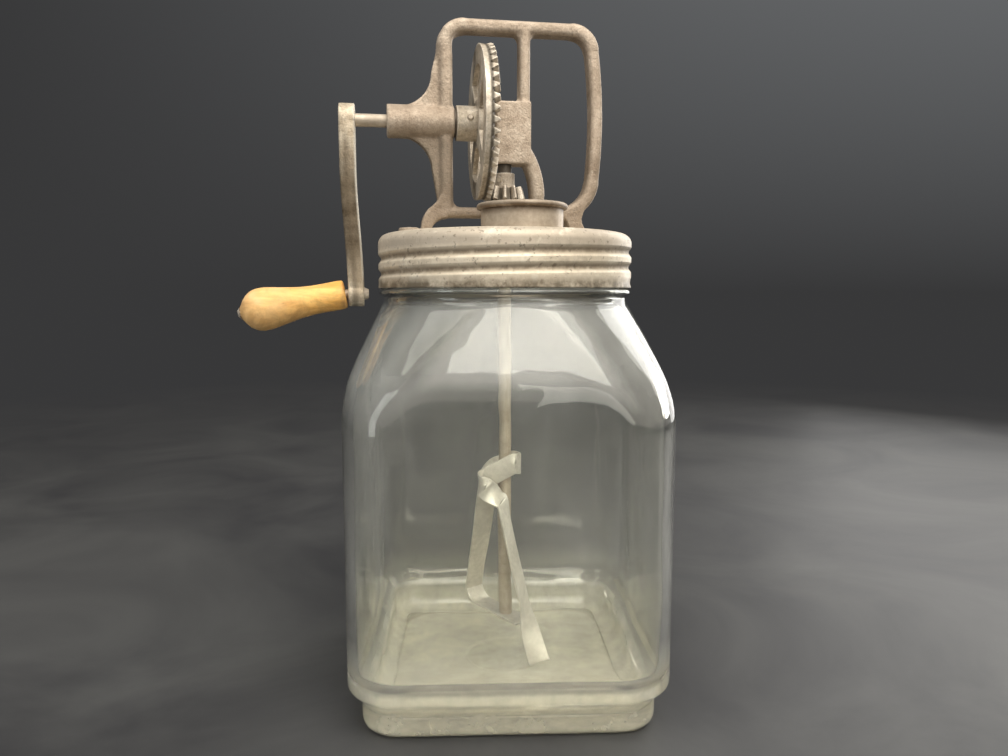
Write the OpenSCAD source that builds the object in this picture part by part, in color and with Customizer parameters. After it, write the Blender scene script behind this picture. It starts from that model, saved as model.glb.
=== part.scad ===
// Glass jar butter churn: a square glass jar under a screw lid that carries a cast gear frame,
// a hand crank, a bevel gear pair and a dasher made of one folded strip.
// Millimetres, +Z up, origin at the middle of the jar's foot on the table, a flat jar face towards -Y.

/* [Jar] */
// Width across the jar's flat faces
jar_w = 157; // [144:1:180]
// Radius of the jar's upright corners
jar_corner_r = 26; // [22:1:32]
// How far the plinth steps in from the faces
plinth_inset = 7; // [3:0.5:9]
// Height of the plinth
plinth_h = 13; // [10:1:20]
// Height of the cove between the plinth and the faces
cove_h = 9; // [5:1:16]
// Radius of the plinth's lower edge
foot_edge_r = 5; // [2:0.5:7]
// Height at which the shoulder starts on the corners
side_h = 152; // [130:1:200]
// Height of the shoulder
shoulder_h = 51; // [42:1:70]
// How much higher the shoulder starts in the middle of a face
shoulder_arch = 14; // [10:1:20]
// Thickness of the glass in the walls
glass_t = 5; // [3:0.5:7]
// Thickness of the glass in the floor
floor_t = 7; // [4:0.5:12]
// Height of the plain neck under the bead
neck_h = 3.5; // [2:0.5:8]
// Height of the bead under the lid
bead_h = 3.4; // [2:0.2:6]

/* [Lid] */
// Outer diameter of the lid
lid_d = 132; // [127:1:138]
// Height of the lid
lid_h = 27.4; // [24:0.2:34]
// Thickness of the sheet metal
sheet_t = 0.9; // [0.6:0.1:1.2]
// Radius of the lid's top edge
lid_edge_r = 5; // [3:0.5:7]
// Depth of the rolled thread grooves
thread_depth = 1.4; // [0.8:0.1:1.8]
// Distance from one thread groove to the next
thread_pitch = 7.6; // [6.4:0.1:8]
// Thickness of the gasket
gasket_t = 2; // [1:0.2:3]
// Angle of the frame to the jar's faces when the lid is tight
lid_angle = 6.5; // [-30:0.5:30]

/* [Strainer] */
// Diameter of the strainer's wall
strainer_d = 40; // [34:1:41]
// Height of the rolled rim above the lid
strainer_h = 13; // [8:0.5:16]
// Diameter of the rolled rim's bead
rim_bead_d = 3; // [2:0.2:3.6]
// Distance of the strainer to the right of the dasher's axis
strainer_right = 3.5; // [-4:0.5:8]
// Distance of the strainer in front of the dasher's axis
strainer_front = 31.6; // [31:0.2:34]
// Gap between the strainer's wires
mesh_gap = 3; // [2.4:0.2:5]
// Thickness of the strainer's wires
wire_t = 0.6; // [0.4:0.1:0.8]

/* [Gears] */
// Teeth on the drive gear
gear_teeth = 44; // [38:1:48]
// Teeth on the pinion
pinion_teeth = 11; // [10:1:12]
// Tooth module at the outer end
gear_module = 1.75; // [1.6:0.05:1.8]
// Width of the toothed faces along the cone
face_w = 6.8; // [5:0.2:8]
// Thickness of the gear's rim behind the teeth
rim_t = 3.4; // [2.5:0.1:5]
// Thickness of the gear's web
web_t = 3; // [2:0.1:4]
// Diameter of the drive gear's hub
gear_hub_d = 17.5; // [14:0.5:22]
// Length of the drive gear's hub
gear_hub_l = 10.5; // [8:0.5:14]
// Width of the spokes between the openings of the gear's web
spoke_w = 8; // [5:0.5:12]
// Diameter of the pinion's hub
pinion_hub_d = 10.4; // [9.8:0.2:11.6]
// Length of the pinion's hub above the teeth
pinion_hub_l = 7; // [5.5:0.5:8]
// Diameter of the pins through the hubs
pin_d = 2.4; // [1.6:0.1:3]

/* [Frame] */
// Width of the frame's bars as seen from the front
bar_w = 6.4; // [5:0.2:8]
// Depth of the frame's bars from front to back
bar_d = 10.5; // [8:0.5:13]
// Height of the base bar
base_bar_t = 5.2; // [4:0.2:7]
// Height of the arch between the lid and the base bar
arch_h = 9; // [6:0.5:12]
// Gap between the gear and the base bar
gear_gap = 3.7; // [2:0.1:6]
// Gap between the gear and the top bar
top_gap = 5.6; // [3:0.2:9]
// Width of the left post behind the gear
post_w = 6.7; // [5:0.1:8]
// Width of the web outside the left post
post_web_w = 4; // [2:0.2:6]
// Thickness of the web outside the left post
post_web_t = 6; // [4:0.5:8]
// Radius of the flares between the left post and the boss
flare_r = 17; // [10:0.5:20]
// Distance of the right post's outer face from the dasher's axis
right_reach = 51.2; // [46:0.1:54]
// Radius of the right post's bow
post_bow_r = 270; // [220:10:600]
// Radius of the loop's upper corners along the middle of the bar
top_corner_r = 11; // [8:0.5:14]
// Radius of the loop's lower right corner along the middle of the bar
low_corner_r = 18.5; // [12:0.1:22]
// Radius of the fillets in the frame's windows
window_r = 4; // [2:0.5:5]
// Outer diameter of the crank's bearing boss
boss_d = 16.6; // [13:0.2:20]
// Length of the crank's bearing boss
boss_l = 34; // [28:1:40]
// Right face of the bearing block, from the dasher's axis
block_right = 13; // [11:0.5:15]
// Height of the bearing block over the pinion
block_h = 31.4; // [26:0.1:36]
// Depth of the bearing block from front to back
block_d = 12; // [11:0.5:16]
// Width of the arched leg
leg_w = 7; // [5:0.5:9]
// Outer diameter of the dasher's lower bearing boss
shaft_boss_d = 16; // [13:0.5:17]
// Thickness of the feet on the lid
pad_t = 2.4; // [1.6:0.2:5]
// Distance of the left rivet from the dasher's axis
left_rivet = 50; // [49:0.5:51]
// Distance of the right rivet from the dasher's axis
right_rivet = 48.5; // [46:0.5:51]
// Diameter of the rivets
rivet_d = 4; // [3:0.2:4.6]
// Diameter of the rivets' heads
rivet_head_d = 8; // [6.4:0.2:9]

/* [Crank] */
// Diameter of the crank's shaft
crank_d = 6.4; // [5:0.1:8]
// Length of bare shaft between the arm and the boss
shaft_gap = 15.8; // [10:0.2:24]
// Distance from the crank's axis to the grip's spindle
throw = 87; // [70:1:92]
// Thickness of the crank arm
arm_t = 8; // [5:0.2:10]
// Width of the crank arm at its lower end
arm_w = 11.5; // [9:0.5:12.5]
// How far the arm leans in towards the jar at its lower end
arm_lean = 3; // [0:0.2:5]
// Diameter of the upper eye of the arm
upper_eye_d = 16; // [13:0.5:20]
// Diameter of the lower eye of the arm
lower_eye_d = 13; // [12.6:0.2:16]
// Diameter of the grip's spindle
spindle_d = 4.4; // [3.6:0.2:5.4]
// Droop of the bent spindle
droop = 10.5; // [0:0.1:13]
// Length of the wooden grip
grip_l = 53; // [44:1:70]
// Largest diameter of the grip
grip_d = 21.8; // [17:0.2:26]
// Diameter of the grip's waist
grip_waist_d = 14.6; // [11:0.2:16.8]
// Rounding of the grip's inner end
grip_edge_r = 1.4; // [0.6:0.2:2.4]

/* [Dasher] */
// Diameter of the dasher's shaft
dasher_d = 7; // [6:0.1:7.6]
// Gap between the dasher's lowest edge and the glass floor
dasher_gap = 6.5; // [4:0.5:16]
// Radius to which the strip's legs flare
dasher_r = 29; // [25:0.5:44]
// Height of the cross strip over the dasher's lowest edge
foot_rise = 17.7; // [14:0.1:24]
// Height at which the strip folds round the shaft
fold_z = 110; // [90:1:125]
// Width of the strip
strip_w = 11; // [8:0.5:12]
// Thickness of the strip
strip_t = 1.2; // [0.8:0.1:1.6]
// Direction of the front leg seen from above
dasher_angle = -52; // [-180:1:180]

/* [Fits] */
// Radial clearance of turning shafts
run_gap = 0.08; // [0.03:0.01:0.1]
// Clearance of pieces that are fixed together
fix_gap = 0.02; // [0.01:0.01:0.03]
// Clearance between pieces that move past each other
free_gap = 0.4; // [0.3:0.05:0.8]

/* [Hidden] */
$fn = 64;
glass_colour = [0.80, 0.86, 0.80, 0.4];
zinc_colour = [0.62, 0.60, 0.55];
iron_colour = [0.42, 0.38, 0.34];
steel_colour = [0.55, 0.52, 0.48];
wood_colour = [0.76, 0.52, 0.27];
rubber_colour = [0.18, 0.14, 0.12];
arc_steps = 5;
washer_t = 0.8;
washer_gap = 0.15;
bend_extra = 0.5;

// Lid and neck
lid_r = lid_d / 2;
finish_r = lid_r - thread_depth - sheet_t - free_gap;
mouth_r = finish_r - glass_t;
neck_r = lid_r - 2.4;
neck_z = side_h + shoulder_h;
bead_z = neck_z + neck_h;
lid_z = bead_z + bead_h + free_gap;
lid_top = lid_z + lid_h;
lid_roof = lid_top - sheet_t;
lip_z = lid_roof - gasket_t - 2 * washer_gap;
groove_half = 0.35 * thread_pitch;
first_groove = lid_edge_r + 2.2 * groove_half;
groove_count = floor((lid_h - first_groove - groove_half) / thread_pitch) + 1;

// Jar
core = jar_w / 2 - jar_corner_r;
inner_edge_r = min(foot_edge_r + 3, plinth_h - 1, jar_corner_r - plinth_inset - glass_t - 1);

// Gears: both pitch cones meet at the apex, where the crank's axis crosses the dasher's axis
gear_pitch_r = gear_module * gear_teeth / 2;
pinion_pitch_r = gear_module * pinion_teeth / 2;
gear_cone = atan(gear_teeth / pinion_teeth);
pinion_cone = 90 - gear_cone;
cone_l = norm([gear_pitch_r, pinion_pitch_r]);
inner_end = 1 - face_w / cone_l;
pressure_angle = 25;
backlash = 0.34;
addendum = 0.85 * gear_module;
dedendum = 1.15 * gear_module;
gear_tip_r = gear_pitch_r + addendum * cos(gear_cone);
tooth_bed = 0.6;
opening_count = 4;

// Heights of the frame
base_bar_z = lid_top + arch_h;
base_mid = base_bar_z + base_bar_t / 2;
base_top = base_bar_z + base_bar_t;
crank_z = base_top + gear_gap + gear_tip_r;
top_mid = crank_z + gear_tip_r + top_gap + bar_w / 2;

// Places along the crank's axis, counted from the dasher's axis towards the crank
gear_root_u = pinion_pitch_r + dedendum * sin(gear_cone);
gear_back_u = gear_root_u + rim_t;
hub_end_u = gear_back_u + gear_hub_l;
boss_in_u = hub_end_u + washer_t + 2 * washer_gap;
boss_out_u = boss_in_u + boss_l;
post_step = 0.7;
post_in_u = boss_in_u + post_step;
post_out_u = post_in_u + post_w;
web_out_u = post_out_u + post_web_w;
post_mid_u = post_in_u + post_w / 2;
loop_step = 1.3;
loop_out_u = post_out_u + loop_step;
arm_in_u = boss_out_u + shaft_gap;
arm_out_u = arm_in_u + arm_t;

// Bearing block and arched leg
pinion_top = crank_z - gear_pitch_r * inner_end + pinion_hub_l;
pinion_foot = crank_z - gear_pitch_r - dedendum * sin(pinion_cone);
shaft_boss_z = pinion_foot - washer_t - 2 * washer_gap;
block_gap = 4.4;
block_z = pinion_top + block_gap;
block_top = block_z + block_h;
block_left = dasher_d / 2 + 1.7;
shaft_top = block_z + 0.6 * block_h;
leg_mid_u = block_right + leg_w / 2 + 0.4;
leg_r = 40.5;
leg_z = crank_z - gear_pitch_r + 2;
leg_sweep = asin((block_z + 6 - leg_z) / leg_r);

// Corners of the frame's loop: a bowed right post between two bends
right_mid_u = right_reach - bar_w / 2;
bow_centre = [right_mid_u - post_bow_r, (top_mid + base_mid) / 2];
top_bow = asin((top_mid - top_corner_r - bow_centre.y) / (post_bow_r - top_corner_r));
low_bow = asin((bow_centre.y - base_mid - low_corner_r) / (post_bow_r - low_corner_r));
right_corner = bow_centre + (post_bow_r - top_corner_r) * [cos(top_bow), sin(top_bow)];
low_corner = bow_centre + (post_bow_r - low_corner_r) * [cos(low_bow), -sin(low_bow)];
left_corner = [top_corner_r + bar_w / 2 - loop_out_u, top_mid - top_corner_r];
centre_post_w = bar_w - 0.8;
centre_post_x = block_right - bar_w / 2;

// Rivets
burr_t = 1;
tail_t = 0.8;
rivet_head_h = 0.2 * rivet_head_d;

// Crank arm and grip
spindle_z = crank_z - throw;
eye_out_u = arm_out_u - arm_lean;
eye_in_u = arm_in_u - arm_lean;
bend_step = 0.2;
bend_u = eye_out_u + bend_step;
bend_r = 4;
grip_start = ((grip_waist_d / 2 - grip_edge_r - bend_r) * sin(droop) + free_gap - bend_step) / cos(droop);
spindle_head_d = spindle_d + 2.2;
spindle_tip_d = spindle_d + 1.4;
tip_l = 1;

// Dasher
dasher_floor = floor_t + dasher_gap;
foot_z = dasher_floor + foot_rise;
tenon_d = dasher_d - 2.4;
fold_r = dasher_d / 2 + strip_t / 2 + fix_gap;
fold_reach = 4.5;
hairpin_x = -11;
hairpin_r = strip_t + 1.4;
fold_angle = 52;
legs_way = [cos(fold_angle), -sin(fold_angle), 0];
front_knee_r = dasher_r - 10;
foot_mid = foot_z + strip_t / 2;

// Points along an arc, from angle a to angle b
function arc(c, r, a, b, n = arc_steps) =
    [for (i = [0:n]) c + r * [cos(a + (b - a) * i / n), sin(a + (b - a) * i / n)]];

function mix(a, b, t) = a + (b - a) * t;

function unit(v) = v / norm(v);

function ease(t) = t * t * (3 - 2 * t);

// A list of points, then its mirror image in the upright axis
function mirrored(points) = concat(points, [for (i = [len(points) - 1:-1:0]) [-points[i].x, points[i].y]]);

module in_lid_frame() {
    rotate([0, 0, lid_angle])
        children();
}

// Turns an upright solid so that it points from the apex towards the crank
module on_crank_axis() {
    in_lid_frame()
        translate([0, 0, crank_z])
            rotate([0, -90, 0])
                children();
}

module ring(outer_r, inner_r, h) {
    difference() {
        cylinder(h = h, r = outer_r);
        translate([0, 0, -1])
            cylinder(h = h + 2, r = inner_r);
    }
}

// Extrudes an outline drawn in X and Z, with its thickness centred on the frame's middle plane
module plate(t) {
    rotate([90, 0, 0])
        linear_extrude(t, center = true)
            children();
}

// Jar

// Distance of the wall outside the square core, from the foot up, t inside the outer surface
function wall_points(t, z, edge_r) =
    let (foot = jar_corner_r - plinth_inset - t)
    concat(
        arc([foot - edge_r, z + edge_r], edge_r, -90, 0),
        [for (i = [0:arc_steps]) [foot + plinth_inset * ease(i / arc_steps),
            plinth_h + z + cove_h * i / arc_steps]],
        [[foot + plinth_inset, neck_z]]);

// The wall's profile swept round the square core
module swept_body(t, z, edge_r) {
    wall = wall_points(t, z, edge_r);
    half = concat([[0, z]], wall, [[0, neck_z]]);
    rotate([90, 0, 90])
        linear_extrude(2 * core, center = true)
            polygon(mirrored([for (p = wall) [p.x + core, p.y]]));
    for (side = [0, 180])
        rotate([0, 0, side])
            translate([core, 0, 0])
                rotate([90, 0, 0])
                    linear_extrude(2 * core, center = true)
                        polygon(half);
    for (quarter = [0:3])
        rotate([0, 0, 90 * quarter])
            translate([core, core, 0])
                rotate_extrude(angle = 90)
                    polygon(half);
}

// Outline of two leaning shoulder faces over the flat faces, t inside the outer surface
function lean_outline(t, top_r) =
    let (face = jar_w / 2 - t, start = side_h + shoulder_arch, knee = 5,
        lean = (face - top_r) / (neck_z - start))
    mirrored([[face + 2, -1], [face + 2, start - 2 * knee], [face + 0.35 * lean * knee, start - 2 * knee],
        [face - 0.35 * lean * knee, start], [face - lean * knee, start + knee], [top_r + 0.8, neck_z]]);

// The swept body under four leaning faces and a round shoulder that takes off the corners
module jar_form(t, z, edge_r, top_r) {
    corner = core * sqrt(2) + jar_corner_r - t;
    start = side_h - 0.5 * t;
    dome_z = (top_r * top_r + neck_z * neck_z - corner * corner - start * start) / (2 * (neck_z - start));
    dome_r = norm([corner, start - dome_z]);
    intersection() {
        swept_body(t, z, edge_r);
        for_both_ways()
            polygon(lean_outline(t, top_r));
        rotate_extrude() {
            intersection() {
                translate([0, dome_z])
                    circle(r = dome_r);
                translate([0, start - 10])
                    square([dome_r, neck_z - start + 10]);
            }
            translate([0, -1])
                square([dome_r + 2, start - 8]);
        }
    }
}

// What two crossing plates of one outline have in common
module for_both_ways() {
    intersection() {
        plate(2 * jar_w)
            children();
        rotate([0, 0, 90])
            plate(2 * jar_w)
                children();
    }
}

module glass_jar() {
    lip_r = 1.6;
    color(glass_colour) {
        difference() {
            jar_form(0, 0, foot_edge_r, neck_r);
            jar_form(glass_t, floor_t, inner_edge_r, mouth_r);
        }
        rotate_extrude()
            polygon(concat([[mouth_r, neck_z], [neck_r, neck_z], [neck_r, bead_z]],
                arc([lid_r - bead_h / 2, bead_z + bead_h / 2], bead_h / 2, -90, 90),
                [[finish_r, bead_z + bead_h]],
                arc([finish_r - lip_r, lip_z - lip_r], lip_r, 0, 90),
                arc([mouth_r + lip_r, lip_z - lip_r], lip_r, 90, 180)));
    }
}

// Lid

module lid_gasket() {
    color(rubber_colour)
        translate([0, 0, lip_z + washer_gap])
            ring(min(finish_r, lid_r - lid_edge_r) - free_gap, mouth_r, gasket_t);
}

// Outer or inner side of the lid's wall, from the top edge down to the open end
function lid_side(inset) =
    concat(
        arc([lid_r - lid_edge_r, lid_top - lid_edge_r], lid_edge_r - inset, 90, 0),
        [for (k = [0:groove_count - 1], step = [[1, 0], [0.4, 1], [-0.4, 1], [-1, 0]])
            [lid_r - inset - step[1] * thread_depth,
                lid_top - first_groove - k * thread_pitch + step[0] * groove_half]],
        [[lid_r - inset, lid_z]]);

module at_strainer() {
    in_lid_frame()
        translate([strainer_right, -strainer_front, 0])
            children();
}

module at_rivets() {
    in_lid_frame()
        for (u = [-left_rivet, right_rivet])
            translate([u, 0, 0])
                children();
}

module screw_lid() {
    outer = lid_side(0);
    inner = lid_side(sheet_t);
    color(zinc_colour)
        difference() {
            rotate_extrude()
                polygon(concat([[0, lid_top]], outer, [for (i = [len(inner) - 1:-1:0]) inner[i]],
                    [[0, lid_roof]]));
            translate([0, 0, lid_roof - 1])
                cylinder(h = sheet_t + 2, d = dasher_d + 3);
            at_strainer()
                translate([0, 0, lid_roof - 1])
                    cylinder(h = sheet_t + 2, d = strainer_d + 2 * fix_gap);
            at_rivets()
                translate([0, 0, lid_roof - 1])
                    cylinder(h = sheet_t + 2, d = rivet_d + 2 * fix_gap);
        }
}

module strainer_collar() {
    wall_r = strainer_d / 2;
    flange = 2.4;
    top = lid_top + strainer_h;
    color(zinc_colour)
        at_strainer()
            rotate_extrude() {
                polygon([[wall_r - sheet_t - flange, lid_roof - 2 * sheet_t],
                    [wall_r + flange, lid_roof - 2 * sheet_t], [wall_r + flange, lid_roof],
                    [wall_r, lid_roof],
                    [wall_r, top - rim_bead_d / 2], [wall_r - sheet_t, top - rim_bead_d / 2],
                    [wall_r - sheet_t, lid_roof - sheet_t], [wall_r - sheet_t - flange, lid_roof - sheet_t]]);
                translate([wall_r - sheet_t + rim_bead_d / 2, top - rim_bead_d / 2])
                    circle(d = rim_bead_d);
            }
}

module strainer_mesh() {
    mesh_r = strainer_d / 2 - sheet_t - fix_gap;
    pitch = mesh_gap + wire_t;
    count = floor((mesh_r - 1) / pitch);
    color(steel_colour)
        at_strainer()
            translate([0, 0, lid_roof - sheet_t])
                linear_extrude(wire_t) {
                    intersection() {
                        circle(r = mesh_r - wire_t);
                        for (turn = [0, 90], k = [-count:count])
                            rotate(turn)
                                translate([k * pitch, 0])
                                    square([wire_t, 2 * mesh_r], center = true);
                    }
                    difference() {
                        circle(r = mesh_r);
                        circle(r = mesh_r - 2 * wire_t);
                    }
                }
}

// Frame

// Rounded section of the frame's bars
module bar_section(w, d) {
    r = 0.36 * w;
    square([w - 2 * r, d], center = true);
    square([w, d - 2 * r], center = true);
    for (x = [-1, 1], y = [-1, 1])
        translate([x * (w / 2 - r), y * (d / 2 - r)])
            circle(r = r);
}

// A bar between two points given as distance along X and height
module straight_bar(from, to, w) {
    run = to - from;
    translate([from.x, 0, from.y])
        rotate([0, 90 - atan2(run.y, run.x), 0])
            linear_extrude(norm(run))
                bar_section(w, bar_d);
}

// A bar bent round a centre, through angles counted from +X up, a little fuller than a straight one
module bent_bar(centre, r, from, to, w, extra = bend_extra) {
    translate([centre.x, 0, centre.y])
        rotate([90, 0, 0])
            rotate([0, 0, from])
                rotate_extrude(angle = to - from)
                    translate([r, 0])
                        bar_section(w + extra, bar_d + extra);
}

module frame_loop() {
    lap = 1.2;
    bow_lap = lap / post_bow_r * 180 / PI;
    straight_bar([left_corner.x - lap, top_mid], [right_corner.x + lap, top_mid], bar_w);
    bent_bar(left_corner, top_corner_r, 90, 180, bar_w);
    bent_bar(right_corner, top_corner_r, top_bow, 90, bar_w);
    bent_bar(bow_centre, post_bow_r, -low_bow - bow_lap, top_bow + bow_lap, bar_w, 0);
    bent_bar(low_corner, low_corner_r, -90, -low_bow, bar_w);
    straight_bar([-post_mid_u, base_mid], [low_corner.x, base_mid], base_bar_t);
    straight_bar([-post_mid_u, base_mid], [-post_mid_u, left_corner.y + 0.45 * top_corner_r], post_w);
}

// Fillet in the corner of a window, on the sides given as signs along X and Z
module window_fillet(corner, side_x, side_z) {
    sink = 1;
    plate(bar_d - 3)
        translate(corner)
            mirror([side_x < 0 ? 1 : 0, 0])
                scale_mirror(side_z)
                    difference() {
                        translate([-sink, -sink])
                            square(window_r + sink);
                        translate([window_r + 0.2, window_r + 0.2])
                            circle(r = window_r + 0.4);
                    }
}

module window_fillets() {
    under_top = top_mid - bar_w / 2;
    left_of_post = centre_post_x - centre_post_w / 2;
    window_fillet([left_of_post, under_top], -1, -1);
    window_fillet([centre_post_x + centre_post_w / 2, under_top], 1, -1);
    window_fillet([left_of_post, block_top], -1, 1);
    window_fillet([-post_in_u, base_top], 1, 1);
}

// Web outside the left post, flared into the crank's boss above and below
module left_web() {
    rise = boss_d / 2 - 1 + flare_r;
    plate(post_web_t) {
        for (side = [-1, 1])
            translate([0, crank_z])
                scale_mirror(side)
                    difference() {
                        translate([-web_out_u - flare_r, 0])
                            square([post_web_w + flare_r + post_w / 2, rise]);
                        translate([-web_out_u - flare_r, rise])
                            circle(r = flare_r);
                    }
        polygon([[-post_mid_u, crank_z + rise - 1], [-web_out_u, crank_z + rise - 1],
            [-web_out_u, crank_z + rise], [0.5 - loop_out_u, left_corner.y + 1],
            [-post_mid_u, left_corner.y + 1]]);
        polygon([[-post_mid_u, crank_z - rise + 1], [-web_out_u, crank_z - rise + 1],
            [-post_out_u - 1.4, base_top + 4], [-post_out_u - 1.4, base_mid], [-post_mid_u, base_mid]]);
    }
}

// Mirrors an outline top to bottom where side is negative
module scale_mirror(side) {
    mirror([0, side < 0 ? 1 : 0])
        children();
}

// Bearing block over the pinion, the post above it and the arched leg beside the pinion
module bearing_block() {
    plate(block_d)
        translate([-block_left, block_z])
            square([block_left + block_right, block_h]);
    straight_bar([centre_post_x, block_top - 2], [centre_post_x, top_mid], centre_post_w);
    bent_bar([leg_mid_u - leg_r, leg_z], leg_r, 0, leg_sweep, leg_w);
    straight_bar([leg_mid_u, base_mid], [leg_mid_u, leg_z + 1.2], leg_w);
}

// Legs that splay out from the ends of the base bar to the feet on the lid
module feet() {
    pad_r = rivet_head_d / 2 + 1.4;
    splay = 6.4;
    left_foot = web_out_u + splay;
    arch_u = post_in_u + 3.1;
    left_leg = concat(
        [[-arch_u, base_top + 6], [-post_out_u, base_top + 6], [-post_out_u - 1.6, base_top + 3],
            [-web_out_u + 0.2, base_top + 0.7], [-web_out_u - 0.4 * splay, base_top - 1.5],
            [-web_out_u - 0.7 * splay, base_mid - 1.7], [0.8 - left_foot, base_bar_z - 2.5],
            [-left_foot, lid_top]],
        arc([-arch_u, lid_top], arch_h - 0.3, 180, 90));
    right_foot = right_rivet - 3;
    right_leg = [[low_corner.x + 2.4, base_mid + 1], [low_corner.x + 14.8, base_top + 0.8],
        [low_corner.x + 13.2, base_mid], [low_corner.x + 12.4, base_bar_z],
        [low_corner.x + 12.8, base_bar_z - 2.3],
        [right_foot - 3.6, lid_top + 4.4], [right_foot - 1.7, lid_top + 2], [right_foot, lid_top],
        [right_foot - 10, lid_top], [low_corner.x + 3.6, base_bar_z - 0.6]];
    plate(bar_d)
        polygon(left_leg);
    plate(bar_d)
        polygon(right_leg);
    translate([0, 0, lid_top])
        linear_extrude(pad_t) {
            translate([-left_rivet, 0])
                circle(r = pad_r);
            translate([-left_rivet, -pad_r])
                square([left_rivet - arch_u - arch_h + 1, 2 * pad_r]);
            translate([right_rivet, 0])
                circle(r = pad_r);
            translate([right_foot - 7, -pad_r])
                square([right_rivet - right_foot + 7, 2 * pad_r]);
        }
}

module gear_frame() {
    color(iron_colour)
        in_lid_frame()
            difference() {
                union() {
                    frame_loop();
                    left_web();
                    window_fillets();
                    bearing_block();
                    feet();
                    translate([-boss_in_u, 0, crank_z])
                        rotate([0, -90, 0])
                            cylinder(h = boss_l, d = boss_d);
                    translate([0, 0, lid_top])
                        cylinder(h = shaft_boss_z - lid_top, d = shaft_boss_d);
                }
                translate([-boss_in_u + 1, 0, crank_z])
                    rotate([0, -90, 0])
                        cylinder(h = boss_l + 2, d = crank_d + 2 * run_gap);
                translate([0, 0, lid_top - 1])
                    cylinder(h = shaft_top + 1 - lid_top + 1, d = dasher_d + 2 * run_gap);
                for (u = [-left_rivet, right_rivet])
                    translate([u, 0, lid_top - 1])
                        cylinder(h = pad_t + 2, d = rivet_d + 2 * fix_gap);
            }
}

module frame_rivets() {
    head_z = lid_top + pad_t;
    tail_z = lid_roof - burr_t;
    color(steel_colour)
        at_rivets()
            rotate_extrude()
                polygon(concat([[0, tail_z - tail_t], [rivet_d / 2 + 0.7, tail_z - tail_t],
                    [rivet_d / 2 + 0.7, tail_z], [rivet_d / 2, tail_z], [rivet_d / 2, head_z]],
                    [for (i = [0:arc_steps]) [rivet_head_d / 2 * cos(90 * i / arc_steps),
                        head_z + rivet_head_h * sin(90 * i / arc_steps)]]));
}

module rivet_burrs() {
    color(steel_colour)
        at_rivets()
            translate([0, 0, lid_roof - burr_t])
                ring(rivet_d / 2 + 2.4, rivet_d / 2 + fix_gap, burr_t);
}

// Crank

module gear_pin_line() {
    on_crank_axis()
        translate([0, 0, gear_back_u + 0.36 * gear_hub_l])
            rotate([0, 90, -81])
                children();
}

module crank_shaft() {
    color(steel_colour)
        difference() {
            on_crank_axis()
                translate([0, 0, gear_root_u])
                    cylinder(h = arm_out_u - gear_root_u, d = crank_d);
            gear_pin_line()
                cylinder(h = 2 * crank_d, d = pin_d + 2 * fix_gap, center = true);
        }
}

module crank_washer() {
    color(steel_colour)
        on_crank_axis()
            translate([0, 0, hub_end_u + washer_gap])
                ring(0.42 * boss_d, crank_d / 2 + fix_gap, washer_t);
}

module crank_arm() {
    steps = 10;
    lean_from = 0.25;
    side = [for (i = [0:steps]) let (t = max(0, i / steps - lean_from) / (1 - lean_from))
        [arm_lean * ease(t), crank_z - throw * i / steps]];
    top = [0, crank_z + upper_eye_d];
    low = [arm_lean, spindle_z - lower_eye_d];
    middle = concat([top], side, [low]);
    color(iron_colour)
        in_lid_frame()
            difference() {
                intersection() {
                    plate(2 * upper_eye_d)
                        polygon(concat([for (p = middle) [p.x - arm_out_u, p.y]],
                            [for (i = [len(middle) - 1:-1:0]) [middle[i].x - arm_in_u, middle[i].y]]));
                    translate([-arm_out_u - arm_lean, 0, 0])
                        rotate([90, 0, 90])
                            linear_extrude(arm_t + 3 * arm_lean) {
                                translate([0, crank_z])
                                    circle(d = upper_eye_d);
                                translate([0, spindle_z])
                                    circle(d = lower_eye_d);
                                polygon(mirrored([[arm_w / 2, spindle_z], [0.49 * upper_eye_d, crank_z]]));
                            }
                }
                translate([-arm_in_u + 1, 0, crank_z])
                    rotate([0, -90, 0])
                        cylinder(h = arm_t + 2, d = crank_d + 2 * fix_gap);
                translate([-eye_in_u + 1, 0, spindle_z])
                    rotate([0, -90, 0])
                        cylinder(h = arm_t + 2, d = spindle_d + 2 * fix_gap);
            }
}

// Half thickness of a tooth at a height over the pitch line, with involute flanks on the back cone
function involute(a) = tan(a) - a * PI / 180;

function flank(pitch_r, h) =
    let (half_t = PI * gear_module / 4 - backlash / 2, r = pitch_r + h,
        base_r = pitch_r * cos(pressure_angle),
        a = r > base_r ? acos(base_r / r) : 0,
        turn = (half_t / pitch_r + involute(pressure_angle) - involute(a)) * 180 / PI)
    [r * sin(turn), r * cos(turn) - pitch_r];

// Straight bevel teeth round the Z axis, with the apex at the origin, each a tapered prism set into the root
module bevel_teeth(count, cone, heights, phase) {
    back_r = cone_l * tan(cone);
    side = [for (h = heights) flank(back_r, h)];
    outline = mirrored(concat([[side[0].x, -dedendum - tooth_bed]], side));
    n = len(outline);
    points = [for (end = [1, inner_end], p = outline)
        end * [cone_l * sin(cone) + p.y * cos(cone), p.x, cone_l * cos(cone) - p.y * sin(cone)]];
    faces = concat([[for (i = [0:n - 1]) i]], [[for (i = [n - 1:-1:0]) n + i]],
        [for (i = [0:n - 1]) [(i + 1) % n, i, n + i, n + (i + 1) % n]]);
    for (k = [0:count - 1])
        rotate([0, 0, phase + 360 * k / count])
            polyhedron(points, faces);
}

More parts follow.
